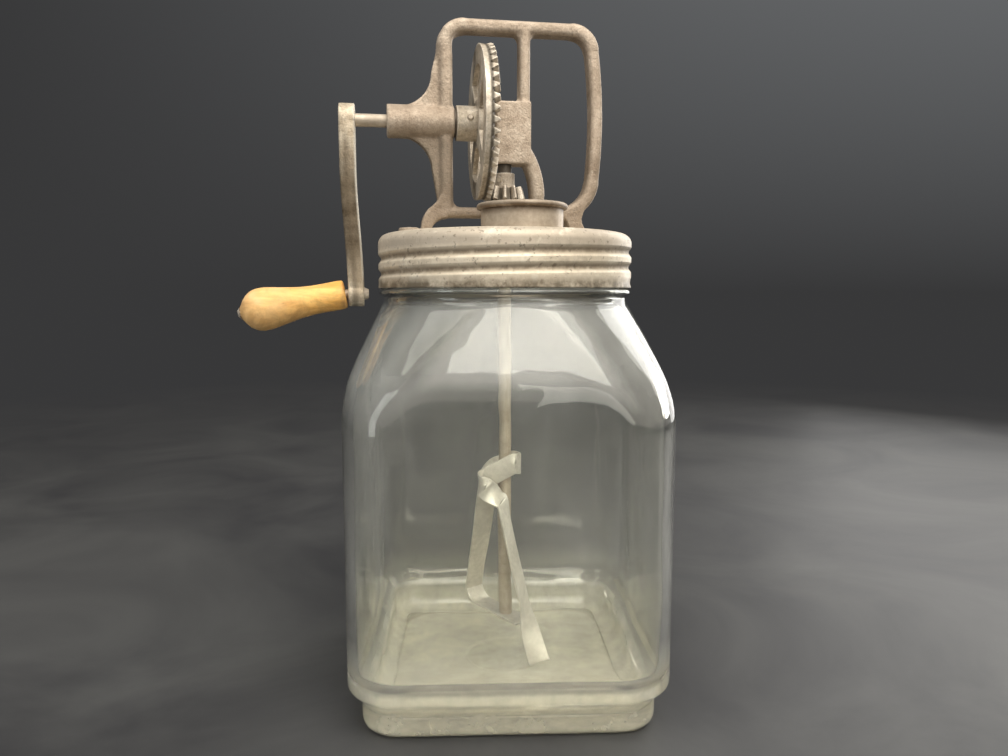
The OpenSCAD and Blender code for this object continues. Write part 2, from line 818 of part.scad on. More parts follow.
module drive_gear() {
    root = [gear_pitch_r - dedendum * cos(gear_cone), gear_root_u];
    rim_in = root.x * inner_end - 0.6;
    hub_r = gear_hub_d / 2;
    color(iron_colour)
        difference() {
            on_crank_axis() {
                difference() {
                    rotate_extrude()
                        polygon([[0, gear_root_u], [hub_r, gear_root_u], [hub_r, gear_back_u - web_t],
                            [rim_in, gear_back_u - web_t], [rim_in, root.y * inner_end], root * inner_end,
                            root, [root.x + 0.4, gear_back_u], [hub_r, gear_back_u], [hub_r, hub_end_u],
                            [0, hub_end_u]]);
                    translate([0, 0, gear_back_u - web_t - 1])
                        linear_extrude(web_t + 2)
                            difference() {
                                circle(r = rim_in - 2);
                                circle(r = hub_r + 3.5);
                                for (k = [0:opening_count / 2 - 1])
                                    rotate(45 + 360 * k / opening_count)
                                        square([2 * gear_pitch_r, spoke_w], center = true);
                            }
                    translate([0, 0, gear_root_u - 1])
                        cylinder(h = hub_end_u, d = crank_d + 2 * fix_gap);
                }
                bevel_teeth(gear_teeth, gear_cone, [-dedendum, addendum], 180);
            }
            gear_pin_line()
                cylinder(h = 2 * gear_hub_d, d = pin_d + 2 * fix_gap, center = true);
        }
}

// The pin's round head stands on the hub's front
module gear_pin() {
    head_d = 1.5 * pin_d;
    color(steel_colour)
        gear_pin_line() {
            translate([0, 0, -gear_hub_d / 2])
                cylinder(h = gear_hub_d, d = pin_d);
            translate([0, 0, gear_hub_d / 2])
                cylinder(h = 0.4 * pin_d, d1 = head_d, d2 = 0.6 * head_d);
        }
}

// Frame of the grip: Z runs out along the drooping spindle from its bend
module at_grip() {
    in_lid_frame()
        translate([-bend_u - bend_r * sin(droop), 0, spindle_z - bend_r * (1 - cos(droop))])
            rotate([0, -90 - droop, 0])
                children();
}

module handle_spindle() {
    head_h = 0.35 * spindle_head_d;
    lap = 0.3;
    color(steel_colour) {
        in_lid_frame()
            translate([-eye_in_u, 0, spindle_z]) {
                rotate([0, -90, 0])
                    cylinder(h = bend_u - eye_in_u + lap, d = spindle_d);
                rotate([0, 90, 0])
                    cylinder(h = head_h, d1 = spindle_head_d, d2 = 0.7 * spindle_head_d);
                translate([eye_in_u - bend_u, 0, -bend_r])
                    rotate([90, 0, 0])
                        rotate([0, 0, 90])
                            rotate_extrude(angle = droop)
                                translate([bend_r, 0])
                                    circle(d = spindle_d + 0.1);
            }
        at_grip() {
            translate([0, 0, -lap])
                cylinder(h = lap + grip_start + grip_l + free_gap, d = spindle_d);
            translate([0, 0, grip_start + grip_l + free_gap])
                cylinder(h = tip_l, d1 = spindle_tip_d, d2 = 0.7 * spindle_tip_d);
        }
    }
}

// Radius of the grip along its length: a waist, a belly and a round end
function grip_radius(t) =
    let (waist_end = 0.3, belly = 0.78, waist_r = grip_waist_d / 2, belly_r = grip_d / 2)
    t < waist_end ? waist_r :
    t < belly ? mix(waist_r, belly_r, (1 - cos(180 * (t - waist_end) / (belly - waist_end))) / 2) :
    max(belly_r * sqrt(1 - pow((t - belly) / (1 - belly), 2)), spindle_tip_d / 2 + 0.5);

module handle_grip() {
    steps = 24;
    bore_r = spindle_d / 2 + run_gap;
    color(wood_colour)
        at_grip()
            translate([0, 0, grip_start])
                rotate_extrude()
                    polygon(concat([[bore_r, 0]],
                        arc([grip_waist_d / 2 - grip_edge_r, grip_edge_r], grip_edge_r, -90, 0),
                        [for (i = [2:steps]) [grip_radius(i / steps), grip_l * i / steps]],
                        [[bore_r, grip_l]]));
}

// Dasher

module on_dasher() {
    rotate([0, 0, dasher_angle])
        children();
}

module pinion_pin_line() {
    on_dasher()
        translate([0, 0, pinion_top - pinion_hub_l / 2])
            rotate([90, 0, 20])
                children();
}

// The shaft's lower end is a tenon through the cross strip, closed over a burr
module dasher_shaft() {
    tenon_z = foot_z - burr_t - tail_t;
    color(steel_colour)
        difference() {
            union() {
                translate([0, 0, foot_z + strip_t])
                    cylinder(h = shaft_top - foot_z - strip_t, d = dasher_d);
                translate([0, 0, tenon_z])
                    cylinder(h = foot_z + strip_t - tenon_z + 1, d = tenon_d);
                translate([0, 0, tenon_z])
                    cylinder(h = tail_t, d = tenon_d + 1.4);
            }
            pinion_pin_line()
                cylinder(h = 2 * dasher_d, d = pin_d + 2 * fix_gap, center = true);
        }
}

module pinion_gear() {
    root = [pinion_pitch_r - dedendum * cos(pinion_cone), gear_pitch_r + dedendum * sin(pinion_cone)];
    heights = [-dedendum, -0.5 * dedendum, 0, 0.5 * addendum, addendum];
    color(iron_colour)
        difference() {
            in_lid_frame()
                translate([0, 0, crank_z]) {
                    rotate_extrude()
                        polygon([[0, -root.y], [root.x, -root.y], [root.x * inner_end, -root.y * inner_end],
                            [pinion_hub_d / 2, -root.y * inner_end], [pinion_hub_d / 2, pinion_top - crank_z],
                            [0, pinion_top - crank_z]]);
                    rotate([180, 0, 0])
                        bevel_teeth(pinion_teeth, pinion_cone, heights, 180 + 180 / pinion_teeth);
                }
            translate([0, 0, pinion_foot - 2])
                cylinder(h = pinion_top - pinion_foot + 4, d = dasher_d + 2 * fix_gap);
            pinion_pin_line()
                cylinder(h = 2 * pinion_hub_d, d = pin_d + 2 * fix_gap, center = true);
        }
}

module pinion_pin() {
    color(steel_colour)
        pinion_pin_line()
            cylinder(h = pinion_hub_d + 0.8, d = pin_d, center = true);
}

module thrust_washer() {
    color(steel_colour)
        translate([0, 0, shaft_boss_z + washer_gap])
            ring(0.46 * shaft_boss_d, dasher_d / 2 + fix_gap, washer_t);
}

// A strip swept through stations, each a point and the direction of the strip's width
module strip(stations) {
    n = len(stations);
    points = [for (i = [0:n - 1])
        let (p = stations[i][0], run = unit(stations[min(i + 1, n - 1)][0] - stations[max(i - 1, 0)][0]),
            across = stations[i][1], w = unit(across - (across * run) * run), face = cross(run, w))
        for (c = [[-1, -1], [1, -1], [1, 1], [-1, 1]])
            p + w * c.x * strip_w / 2 + face * c.y * strip_t / 2];
    faces = concat([[0, 1, 2, 3]], [[for (c = [3:-1:0]) 4 * (n - 1) + c]],
        [for (i = [0:n - 2], c = [0:3], half = [0, 1])
            let (a = 4 * i + c, b = 4 * i + (c + 1) % 4)
            half == 0 ? [b, a, a + 4] : [b, a + 4, b + 4]]);
    polyhedron(points, faces);
}

// The strip starts as a cross strip under the shaft, bends up into the rear leg, turns behind the shaft,
// doubles back across its front and runs down the front leg
function blade_stations() =
    let (steps = 7, foot_bend = 8, bend = 9,
        level = [0, 0, -1], side = [sin(fold_angle), cos(fold_angle), 0],
        start = front_knee_r - 4, rear = dasher_r - foot_bend - 2, lift = [0, 0, foot_mid],
        knee_point = [-fold_reach - 4, fold_r + 0.6, fold_z + 4 - bend],
        rear_low = lift + [0, 0, 1.1 * foot_bend] - legs_way * (rear + foot_bend),
        hairpin = [hairpin_x, -fold_r - hairpin_r],
        out = [hairpin.x + 1, hairpin.y - hairpin_r, fold_z - 6],
        front_top = [-1.5, out.y + 0.5, fold_z - 13],
        front_knee = lift + legs_way * front_knee_r,
        front_foot = [0, 0, dasher_floor] + legs_way * dasher_r,
        front_low = mix(front_top, front_knee, 0.8), edge_on = [-0.45, -0.9, 0])
    concat(
        [for (r = [start, 0.4 * start, -0.5 * rear]) [lift + legs_way * r, side]],
        [for (i = [0:5]) let (a = 85 * i / 5)
            [lift - legs_way * (rear + foot_bend * sin(a)) + [0, 0, foot_bend * (1 - cos(a))], side]],
        [for (i = [1:steps - 1]) let (t = i / steps)
            [mix(rear_low, knee_point, t), mix(side, [1, 0.1, 0], ease(t))]],
        [for (i = [0:4]) let (a = 90 * i / 4)
            [knee_point + bend * [1 - cos(a), 0, sin(a)], [cos(a), 0, -sin(a)]]],
        [for (p = arc([fold_reach, 0], fold_r, 90, -90, 8))
            [[p.x, p.y, fold_z + 6 - 0.2 * (fold_r - abs(p.y))], level]],
        [for (t = [0.35, 0.7]) [[mix(fold_reach, hairpin.x, t), -fold_r, fold_z + 6 - 7.5 * t], level]],
        [for (p = arc(hairpin, hairpin_r, 90, 270, 8))
            [[p.x, p.y, fold_z - 3.5 + 0.55 * (p.y - hairpin.y)], level]],
        [for (i = [0:4]) let (t = i / 4)
            [mix(out, front_top, t), mix(level, [-0.5, -1, -0.4], ease(t))]],
        [for (i = [1:steps]) let (t = i / steps)
            [mix(front_top, front_low, t), mix([-0.5, -1, 0], edge_on, t)]],
        [for (i = [1:steps]) let (t = i / steps)
            [mix(mix(front_low, front_knee, t), mix(front_knee, front_foot, t), t),
                mix(edge_on, [-1, 0.1, 0], ease(t))]]);

// The strip, the tongue at the cross strip's end that passes through the front leg, and the tenon's hole
module dasher_blade() {
    tongue_l = 6;
    color(steel_colour)
        difference() {
            rotate([0, 0, dasher_angle + fold_angle]) {
                strip(blade_stations());
                translate(legs_way * (front_knee_r - 5) + [0, 0, foot_mid])
                    rotate([0, 0, -fold_angle])
                        translate([0, -0.25 * strip_w, -0.4 * strip_t])
                            cube([tongue_l, 0.5 * strip_w, 0.8 * strip_t]);
            }
            translate([0, 0, foot_z - 1])
                cylinder(h = strip_t + 2, d = tenon_d + 2 * fix_gap);
        }
}

module foot_burr() {
    color(steel_colour)
        translate([0, 0, foot_z - burr_t])
            ring(tenon_d / 2 + 2, tenon_d / 2 + fix_gap, burr_t);
}

glass_jar();
lid_gasket();
screw_lid();
strainer_collar();
strainer_mesh();
gear_frame();
frame_rivets();
rivet_burrs();
crank_shaft();
crank_washer();
crank_arm();
drive_gear();
gear_pin();
handle_spindle();
handle_grip();
dasher_shaft();
pinion_gear();
pinion_pin();
thrust_washer();
dasher_blade();
foot_burr();
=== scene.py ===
import math

import bmesh
import bpy
import numpy as np
from mathutils import Matrix, Vector, noise


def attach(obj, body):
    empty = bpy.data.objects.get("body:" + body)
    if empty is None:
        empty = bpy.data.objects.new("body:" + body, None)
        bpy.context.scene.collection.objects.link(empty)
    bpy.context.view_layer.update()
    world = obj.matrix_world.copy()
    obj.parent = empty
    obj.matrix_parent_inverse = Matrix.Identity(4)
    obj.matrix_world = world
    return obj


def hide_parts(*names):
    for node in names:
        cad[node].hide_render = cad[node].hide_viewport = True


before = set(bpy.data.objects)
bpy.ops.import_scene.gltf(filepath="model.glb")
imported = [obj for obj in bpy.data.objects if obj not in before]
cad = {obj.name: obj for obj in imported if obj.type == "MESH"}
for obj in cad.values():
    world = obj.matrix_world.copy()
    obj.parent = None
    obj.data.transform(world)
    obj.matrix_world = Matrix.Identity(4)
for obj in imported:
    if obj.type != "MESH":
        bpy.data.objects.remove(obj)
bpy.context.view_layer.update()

MM = 0.001
LID_ANGLE = math.radians(6.5)

# Sizes in millimetres. They are the CAD model's, apart from what the scene shapes for itself: the bulge of the
# shoulder's corners, the thread with the narrower finish under it, the raised pads and the arm's ridge.
# The jar.
JAR_HALF = 78.5
CORNER_R = 26.0
LEAST_CORNER = 4.0
FOOT_EDGE = 5.0
PUSH_UP = 1.3
PLINTH_IN = 7.0
PLINTH_H = 13.0
COVE_H = 9.0
SIDE_H = 152.0
FACE_H = 166.0
SHOULDER_BULGE = 2.0
NECK_Z = 203.0
NECK_R = 63.6
BEAD_Z, BEAD_R, BEAD_ROUND = 208.2, 64.3, 1.7
FINISH_R = 62.45
MOUTH_R = 58.3
LIP_Z = 234.5
LIP_ROUND = 1.6
GLASS = 5.0
FLOOR = 7.0
FLOOR_EDGE = 9.0
FLOOR_RISE = 1.2
PLUNGER_MARK = 0.5
THREAD_H, THREAD_HALF = 1.15, 2.2
# The lid, its groove and its holes.
LID_R = 66.0
LID_Z = 210.3
LID_TOP = 237.7
LID_EDGE = 5.0
SHEET = 0.9
PITCH = 7.6
GROOVE_FRONT_Z = 226.9
GROOVE_D, GROOVE_HALF = 1.4, 2.75
STRAINER_AT, STRAINER_R = (3.5, -31.6), 20.02
SHAFT_HOLE_R = 5.0
RIVETS_AT, RIVET_R = (-50.0, 48.5), 2.02
# The casting, the crank and the gears.
PAD_RISE = 1.2
CRANK_Z = 294.461
THROW = 87.0
ARM_U = -80.377
ARM_LEAN = 3.0
RIDGE_H = 0.75
GEAR_TEETH, PINION_TEETH = 44, 11
TOOTH_INNER = 32.5
# The grip.
DROOP = math.radians(10.5)
GRIP_AT = (-82.3064, 0, 207.394)
GRIP_GAP = 0.554
GRIP_BORE_R = 2.3
GRIP_END_ROUND = 1.4
# The dasher's strip.
SHAFT_D = 7.0
STRIP_W, STRIP_T, STRIP_EDGE = 11.0, 1.2, 0.42
BLADE_R = 29.0
BLADE_ANGLE = math.radians(52)
FOLD_Z = 110.0
CROSS_Z = 31.2
BLADE_FOOT_Z = 13.5
TONGUE_W, TONGUE_T = 5.5, 0.96


# Helpers

def new_object(name, verts, faces, smooth=True):
    mesh = bpy.data.meshes.new(name)
    points = [tuple(float(c) for c in v) for v in verts]
    mesh.from_pydata(points, [], faces)
    mesh.validate()
    mesh.update()
    if smooth:
        mesh.polygons.foreach_set("use_smooth", [True] * len(mesh.polygons))
    obj = bpy.data.objects.new(name, mesh)
    bpy.context.scene.collection.objects.link(obj)
    return obj


def to_lid(p):
    """A point in the lid's own frame, in millimetres, as a point in the row frame in metres."""
    x, y, z = p
    c, s = math.cos(LID_ANGLE), math.sin(LID_ANGLE)
    return ((x * c - y * s) * MM, (x * s + y * c) * MM, z * MM)


def from_lid(co):
    """The other way round: a point in the row frame as a point in the lid's own frame."""
    c, s = math.cos(LID_ANGLE), math.sin(LID_ANGLE)
    return (co.x * c + co.y * s) / MM, (co.y * c - co.x * s) / MM, co.z / MM


def put(obj, body, slot, *replaced, material):
    """Give a piece its material and its body, and hide the CAD nodes that it stands for; the slot is not used."""
    obj.data.materials.clear()
    obj.data.materials.append(material)
    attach(obj, body)
    if replaced:
        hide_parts(*replaced)


def ring_faces(rows, n):
    """Quads between closed rows of n points."""
    faces = []
    for r in range(rows - 1):
        for i in range(n):
            j = (i + 1) % n
            faces.append((r * n + i, r * n + j, (r + 1) * n + j, (r + 1) * n + i))
    return faces


def around(n):
    """Angles of n points once round an axis."""
    return [2 * math.pi * i / n for i in range(n)]


def arc(first, last, steps):
    """Angles in radians from first to last, which are in degrees."""
    return [math.radians(first + (last - first) * i / steps) for i in range(steps + 1)]


def mix(a, b, t):
    return a + (b - a) * t


def ease(t):
    return t * t * (3 - 2 * t)


def smoothstep(a, b, x):
    return ease(min(1.0, max(0.0, (x - a) / (b - a))))


def softplus(x, s):
    t = x / s
    return x if t > 30 else s * math.log1p(math.exp(t))


def softmin(a, b, s):
    return a - softplus(a - b, s)


def cast_copy(name, node, voxel, smooth_steps):
    """A copy of a CAD node with its edges rounded as a casting's are."""
    mesh = cad[node].data.copy()
    bm = bmesh.new()
    bm.from_mesh(mesh)
    bmesh.ops.remove_doubles(bm, verts=bm.verts, dist=2e-6)
    bm.to_mesh(mesh)
    bm.free()
    obj = bpy.data.objects.new(name, mesh)
    bpy.context.scene.collection.objects.link(obj)
    m = obj.modifiers.new("voxels", "REMESH")
    m.mode = "VOXEL"
    m.voxel_size = voxel * MM
    m.use_smooth_shade = True
    s = obj.modifiers.new("round", "SMOOTH")
    s.factor = 0.5
    s.iterations = smooth_steps
    bpy.context.view_layer.update()
    done = bpy.data.meshes.new_from_object(obj.evaluated_get(bpy.context.evaluated_depsgraph_get()))
    obj.modifiers.clear()
    obj.data = done
    obj.data.materials.clear()
    done.polygons.foreach_set("use_smooth", [True] * len(done.polygons))
    return obj


class Tree:
    """A node tree, with short ways to add nodes to it."""

    def __init__(self, tree, coordinates):
        self.tree = tree
        self.coordinates = coordinates
        self._where = None

    def feed(self, socket, value):
        """Link another socket to this one, or set its value."""
        if isinstance(value, bpy.types.NodeSocket):
            self.tree.links.new(value, socket)
        else:
            socket.default_value = value

    def add(self, kind, inputs=(), **props):
        node = self.tree.nodes.new(kind)
        for k, v in props.items():
            setattr(node, k, v)
        for key, value in dict(inputs).items():
            self.feed(node.inputs[key], value)
        return node

    def where(self):
        if self._where is None:
            self._where = self.add("ShaderNodeTexCoord").outputs[self.coordinates]
        return self._where

    def xyz(self):
        return self.add("ShaderNodeSeparateXYZ", {"Vector": self.where()}).outputs

    def stretched(self, scale, rotation=(0, 0, 0)):
        inputs = {"Vector": self.where(), "Scale": scale, "Rotation": rotation}
        return self.add("ShaderNodeMapping", inputs).outputs["Vector"]

    def noise(self, scale, detail, rough, vector=None, distortion=0.0):
        return self.add("ShaderNodeTexNoise", {"Vector": vector or self.where(), "Scale": scale, "Detail": detail,
                                               "Roughness": rough, "Distortion": distortion}).outputs["Fac"]

    def ramp(self, value, stops):
        node = self.add("ShaderNodeValToRGB", {"Fac": value})
        r = node.color_ramp
        while len(r.elements) < len(stops):
            r.elements.new(0.5)
        for e, (pos, col) in zip(r.elements, stops):
            e.position = pos
            e.color = (*col, 1) if hasattr(col, "__len__") else (col, col, col, 1)
        return node.outputs["Color"]

    def span(self, value, a, b, c, d, interpolation="LINEAR"):
        """Map a to c and b to d, and hold the value at both ends."""
        return self.add("ShaderNodeMapRange", {"Value": value, "From Min": a, "From Max": b, "To Min": c, "To Max": d},
                        interpolation_type=interpolation).outputs["Result"]

    def math(self, op, *values):
        node = self.add("ShaderNodeMath", operation=op)
        for socket, value in zip(node.inputs, values):
            self.feed(socket, value)
        return node.outputs[0]

    def hypot(self, a, b):
        return self.math("SQRT", self.math("ADD", self.math("MULTIPLY", a, a), self.math("MULTIPLY", b, b)))

    def mix(self, fac, a, b, blend="MIX"):
        node = self.add("ShaderNodeMix", data_type="RGBA", blend_type=blend)
        self.feed(node.inputs[0], fac)
        for key, colour in ((6, a), (7, b)):
            self.feed(node.inputs[key], (*colour, 1) if isinstance(colour, tuple) else colour)
        return node.outputs[2]

    def bump(self, height, strength, distance):
        inputs = {"Height": height, "Strength": strength, "Distance": distance}
        return self.add("ShaderNodeBump", inputs).outputs["Normal"]


class Nodes(Tree):
    """The nodes of a new material."""

    def __init__(self, name):
        self.material = bpy.data.materials.new(name)
        self.material.use_nodes = True
        super().__init__(self.material.node_tree, "Object")
        self.shader = self.tree.nodes["Principled BSDF"]

    def out(self, **sockets):
        for key, value in sockets.items():
            self.feed(self.shader.inputs[key.replace("_", " ")], value)
        return self.material


def raised(n, low, high):
    """0 in hollows to 1 on edges, from the mesh's own curvature."""
    return n.span(n.add("ShaderNodeNewGeometry").outputs["Pointiness"], low, high, 0.0, 1.0)


def scaled(colour, k):
    return tuple(c * k for c in colour)


def halfway(a, b):
    return tuple((p + q) / 2 for p, q in zip(a, b))


# Materials

# near-black, for painted shade together with black oil
SHADE_AND_OIL = (0.045, 0.036, 0.028)


def cast_metal(name, dark, mid, light, grain=1.0, metallic=0.45, overlay=None, low_shade_and_dirt=None):
    """Sand casting with a worn coat: grain, pits, bright edges, and painted shade with some dirt in the corners."""
    n = Nodes(name)
    broad = n.noise(34, 5, 0.6)
    patch = n.noise(130, 6, 0.65)
    sand = n.noise(1250, 2.5, 0.6)
    pits = n.noise(560, 2, 0.5)
    tone = n.math("MULTIPLY_ADD", patch, 0.5, n.math("MULTIPLY", broad, 0.55))
    colour = n.ramp(tone, [(0.36, dark), (0.52, mid), (0.68, light)])
    colour = n.mix(n.math("MULTIPLY", raised(n, 0.502, 0.56), 0.55), colour, light)
    # the overlay adds marks of its own: painted shade and light with oil, grease and wear on the frame, arm and gears
    if overlay:
        colour = overlay(n, colour, patch)
    if low_shade_and_dirt:
        # painted shade with dirt: the frame is darker towards its bottom, below the given heights
        dirt = n.math("MULTIPLY", n.span(n.xyz()[2], *low_shade_and_dirt, 0.55, 0.0), n.span(patch, 0.3, 0.6, 0.6, 1.0))
        colour = n.mix(dirt, colour, scaled(dark, 0.6))
    # painted shade with some dirt: the mesh's hollows, where shade falls, are darkened
    hollow = n.math("SUBTRACT", 1.0, raised(n, 0.42, 0.492))
    colour = n.mix(n.math("MULTIPLY", hollow, 0.75), colour, scaled(dark, 0.38))
    speck = n.span(pits, 0.30, 0.40, 1.0, 0.0)
    colour = n.mix(n.math("MULTIPLY", speck, 0.3), colour, scaled(dark, 0.5))
    colour = n.mix(1.0, colour, n.ramp(sand, [(0.30, 0.80), (0.52, 1.0), (0.72, 1.10)]), "MULTIPLY")
    rough = n.span(tone, 0.3, 0.75, 0.64, 0.44)
    height = n.math("MULTIPLY_ADD", sand, 0.8, n.math("MULTIPLY", pits, 1.1))
    return n.out(Base_Color=colour, Metallic=metallic, Roughness=rough, Normal=n.bump(height, 0.75 * grain, 0.0004))


def along_crank(n):
    """Distance from the churn's middle along the crank's axis, negative on the crank's side."""
    x, y, _ = n.xyz()
    return n.math("MULTIPLY_ADD", x, math.cos(LID_ANGLE), n.math("MULTIPLY", y, math.sin(LID_ANGLE)))


def arm_painted_light_and_wear(n, colour, patch):
    """Painted dark reflection, brown, in the middle of the arm, painted shade down a shallow channel above it, and a
    right edge that is bare worn metal with a painted highlight.
    """
    z = n.xyz()[2]
    bend = n.span(z, (CRANK_Z - THROW / 4) * MM, (CRANK_Z - THROW) * MM, ARM_U * MM, (ARM_U + ARM_LEAN) * MM,
                  "SMOOTHSTEP")
    across = n.math("DIVIDE", n.math("SUBTRACT", along_crank(n), bend), 0.0042)
    uneven = n.span(patch, 0.3, 0.62, 0.7, 1.0)
    # painted dark reflection: the middle of the arm is darkened
    middle = n.math("MULTIPLY", n.span(z, 0.212, 0.232, 0.0, 1.0), n.span(z, 0.262, 0.288, 1.0, 0.0))
    colour = n.mix(n.math("MULTIPLY", middle, uneven), colour, (0.075, 0.054, 0.031))
    # painted shade down the middle of the upper arm
    channel = n.span(n.math("ABSOLUTE", n.math("ADD", across, 0.1)), 0.15, 0.5, 0.6, 0.0)
    channel = n.math("MULTIPLY", channel, n.span(z, 0.2895, 0.280, 0.0, 1.0))
    colour = n.mix(n.math("MULTIPLY", channel, uneven), colour, (0.13, 0.097, 0.06))
    # the right edge is lightened: bare worn metal with a painted highlight
    edge = n.math("MULTIPLY", n.span(across, 0.72, 0.95, 0.0, 0.85), n.span(z, 0.212, 0.218, 0.0, 1.0))
    return n.mix(edge, colour, (0.82, 0.775, 0.67))


def tooth_gap_shade_and_grease(n, colour, along, radial, cone):
    """Painted shade, with old grease, between the teeth of a bevel gear, by the distance from its pitch cone."""
    over = n.math("SUBTRACT", n.math("MULTIPLY", radial, math.cos(cone)), n.math("MULTIPLY", along, math.sin(cone)))
    gap = n.math("MULTIPLY", n.span(over, -0.0016, -0.0007, 0.85, 0.0), n.span(over, -0.0032, -0.0024, 0.0, 1.0))
    inner = TOOTH_INNER * MM
    gap = n.math("MULTIPLY", gap, n.span(n.hypot(along, radial), inner, inner + 0.001, 0.0, 1.0))
    # painted shade with grease, darkest deep in the gaps
    return n.mix(gap, colour, (0.05, 0.04, 0.028))


def gear_gap_shade_and_grease(n, colour, _patch):
    x, y, z = n.xyz()
    along = n.math("MULTIPLY", along_crank(n), -1.0)
    aside = n.math("MULTIPLY_ADD", x, -math.sin(LID_ANGLE), n.math("MULTIPLY", y, math.cos(LID_ANGLE)))
    radial = n.hypot(aside, n.math("SUBTRACT", z, CRANK_Z * MM))
    return tooth_gap_shade_and_grease(n, colour, along, radial, math.atan(GEAR_TEETH / PINION_TEETH))


def pinion_gap_shade_and_grease(n, colour, _patch):
    x, y, z = n.xyz()
    along = n.math("SUBTRACT", CRANK_Z * MM, z)
    return tooth_gap_shade_and_grease(n, colour, along, n.hypot(x, y), math.atan(PINION_TEETH / GEAR_TEETH))


def post_shade_and_oil(n, colour, patch):
    """Painted shadow of the crank's bearing boss down the left post, with oil that has run down from the bearing."""
    z = n.xyz()[2]
    # painted shadow under the boss, with oil, on the left post between these heights
    run = n.math("MULTIPLY", n.span(z, 0.250, 0.258, 0.0, 1.0), n.span(z, 0.292, 0.284, 0.0, 1.0))
    run = n.math("MULTIPLY", run, n.span(along_crank(n), -0.0235, -0.0260, 0.0, 0.75))
    return n.mix(n.math("MULTIPLY", run, n.span(patch, 0.3, 0.6, 0.5, 1.0)), colour, (0.17, 0.132, 0.09))


def lid_metal(name):
    """Drawn tin with dirt in the rolled grooves, pale patches and dark smudges."""
    n = Nodes(name)
    x, y, z = n.xyz()
    broad = n.noise(26, 5, 0.6)
    fine = n.noise(260, 6, 0.7)
    mottle = n.noise(75, 7, 0.72)
    streak = n.noise(1.0, 4, 0.6, n.stretched((60, 60, 900)))
    tone = n.math("MULTIPLY_ADD", fine, 0.4, n.math("MULTIPLY", broad, 0.65))
    colour = n.ramp(tone, [(0.36, (0.44, 0.365, 0.265)), (0.53, (0.62, 0.535, 0.405)), (0.7, (0.76, 0.675, 0.53))])
    upper = n.math("MULTIPLY", n.span(z, 0.2288, 0.2306, 0.0, 1.0), n.span(z, 0.2376, 0.2368, 0.0, 1.0))
    colour = n.mix(n.math("MULTIPLY", upper, 0.6), colour, (0.42, 0.355, 0.28))
    pale = n.span(mottle, 0.55, 0.66, 0.0, 0.75)
    colour = n.mix(pale, colour, (0.77, 0.705, 0.57))
    smudge = n.span(n.noise(20, 7, 0.75), 0.55, 0.68, 0.0, 0.62)
    colour = n.mix(smudge, colour, (0.235, 0.185, 0.128))
    skirt = n.span(z, 0.2355, 0.2335, 0.0, 1.0)
    groove = n.math("MULTIPLY", n.span(n.hypot(x, y), 0.0656, 0.0647, 0.0, 1.0), skirt)
    grime = n.math("MULTIPLY", groove, n.span(fine, 0.28, 0.56, 0.35, 1.0))
    colour = n.mix(n.math("MULTIPLY", grime, 0.82), colour, (0.155, 0.115, 0.073))
    low = n.math("MULTIPLY", n.span(z, 0.2162, 0.2122, 0.0, 1.0), n.span(mottle, 0.36, 0.54, 0.25, 1.0))
    colour = n.mix(n.math("MULTIPLY", low, 0.9), colour, (0.095, 0.073, 0.045))
    spots = n.span(n.noise(430, 3, 0.6), 0.60, 0.68, 0.0, 0.6)
    colour = n.mix(spots, colour, (0.12, 0.09, 0.06))
    rough = n.math("ADD", n.span(tone, 0.3, 0.7, 0.56, 0.36), n.math("MULTIPLY", n.math("ADD", grime, pale), 0.16))
    normal = n.bump(n.math("MULTIPLY_ADD", streak, 0.4, n.math("ADD", fine, mottle)), 0.16, 0.0005)
    return n.out(Base_Color=colour, Metallic=0.28, Roughness=rough, Normal=normal)


def sheet_metal(name, dark, light, metallic, grime=None):
    """Worn tin; grime gives the heights where a brown stain sets in, is full, begins to fade and has faded."""
    n = Nodes(name)
    broad = n.noise(60, 5, 0.6)
    fine = n.noise(420, 5, 0.65)
    tone = n.math("MULTIPLY_ADD", fine, 0.45, n.math("MULTIPLY", broad, 0.6))
    colour = n.ramp(tone, [(0.33, dark), (0.5, halfway(dark, light)), (0.68, light)])
    if grime:
        z = n.xyz()[2]
        overlay = n.math("MULTIPLY", n.span(z, *grime[:2], 0.0, 1.0), n.span(z, *grime[2:], 1.0, 0.2))
        overlay = n.math("MULTIPLY", overlay, n.span(n.noise(90, 6, 0.7), 0.36, 0.58, 0.4, 1.0))
        colour = n.mix(overlay, colour, (0.12, 0.08, 0.048))
    rough = n.span(tone, 0.3, 0.7, 0.55, 0.34)
    normal = n.bump(fine, 0.12, 0.0003)
    return n.out(Base_Color=colour, Metallic=metallic, Roughness=rough, Normal=normal)


def drawn_steel(name, stretch, dark, light, shaded_oiled=None):
    """Shaft metal: marks that run round or along the shaft; oiled gives the heights where a painted shadow with black
    oil sets in.
    """
    n = Nodes(name)
    lines = n.noise(1.0, 4, 0.6, n.stretched(stretch))
    blot = n.noise(120, 5, 0.65)
    tone = n.math("MULTIPLY_ADD", lines, 0.35, n.math("MULTIPLY", blot, 0.65))
    colour = n.ramp(tone, [(0.34, dark), (0.5, halfway(dark, light)), (0.66, light)])
    if shaded_oiled:
        # painted shadow of the block with black oil, on the shaft above these heights
        colour = n.mix(n.span(n.xyz()[2], *shaded_oiled, 0.0, 0.9), colour, SHADE_AND_OIL)
    rough = n.span(blot, 0.3, 0.7, 0.62, 0.46)
    normal = n.bump(lines, 0.15, 0.0002)
    return n.out(Base_Color=colour, Metallic=0.45, Roughness=rough, Normal=normal)


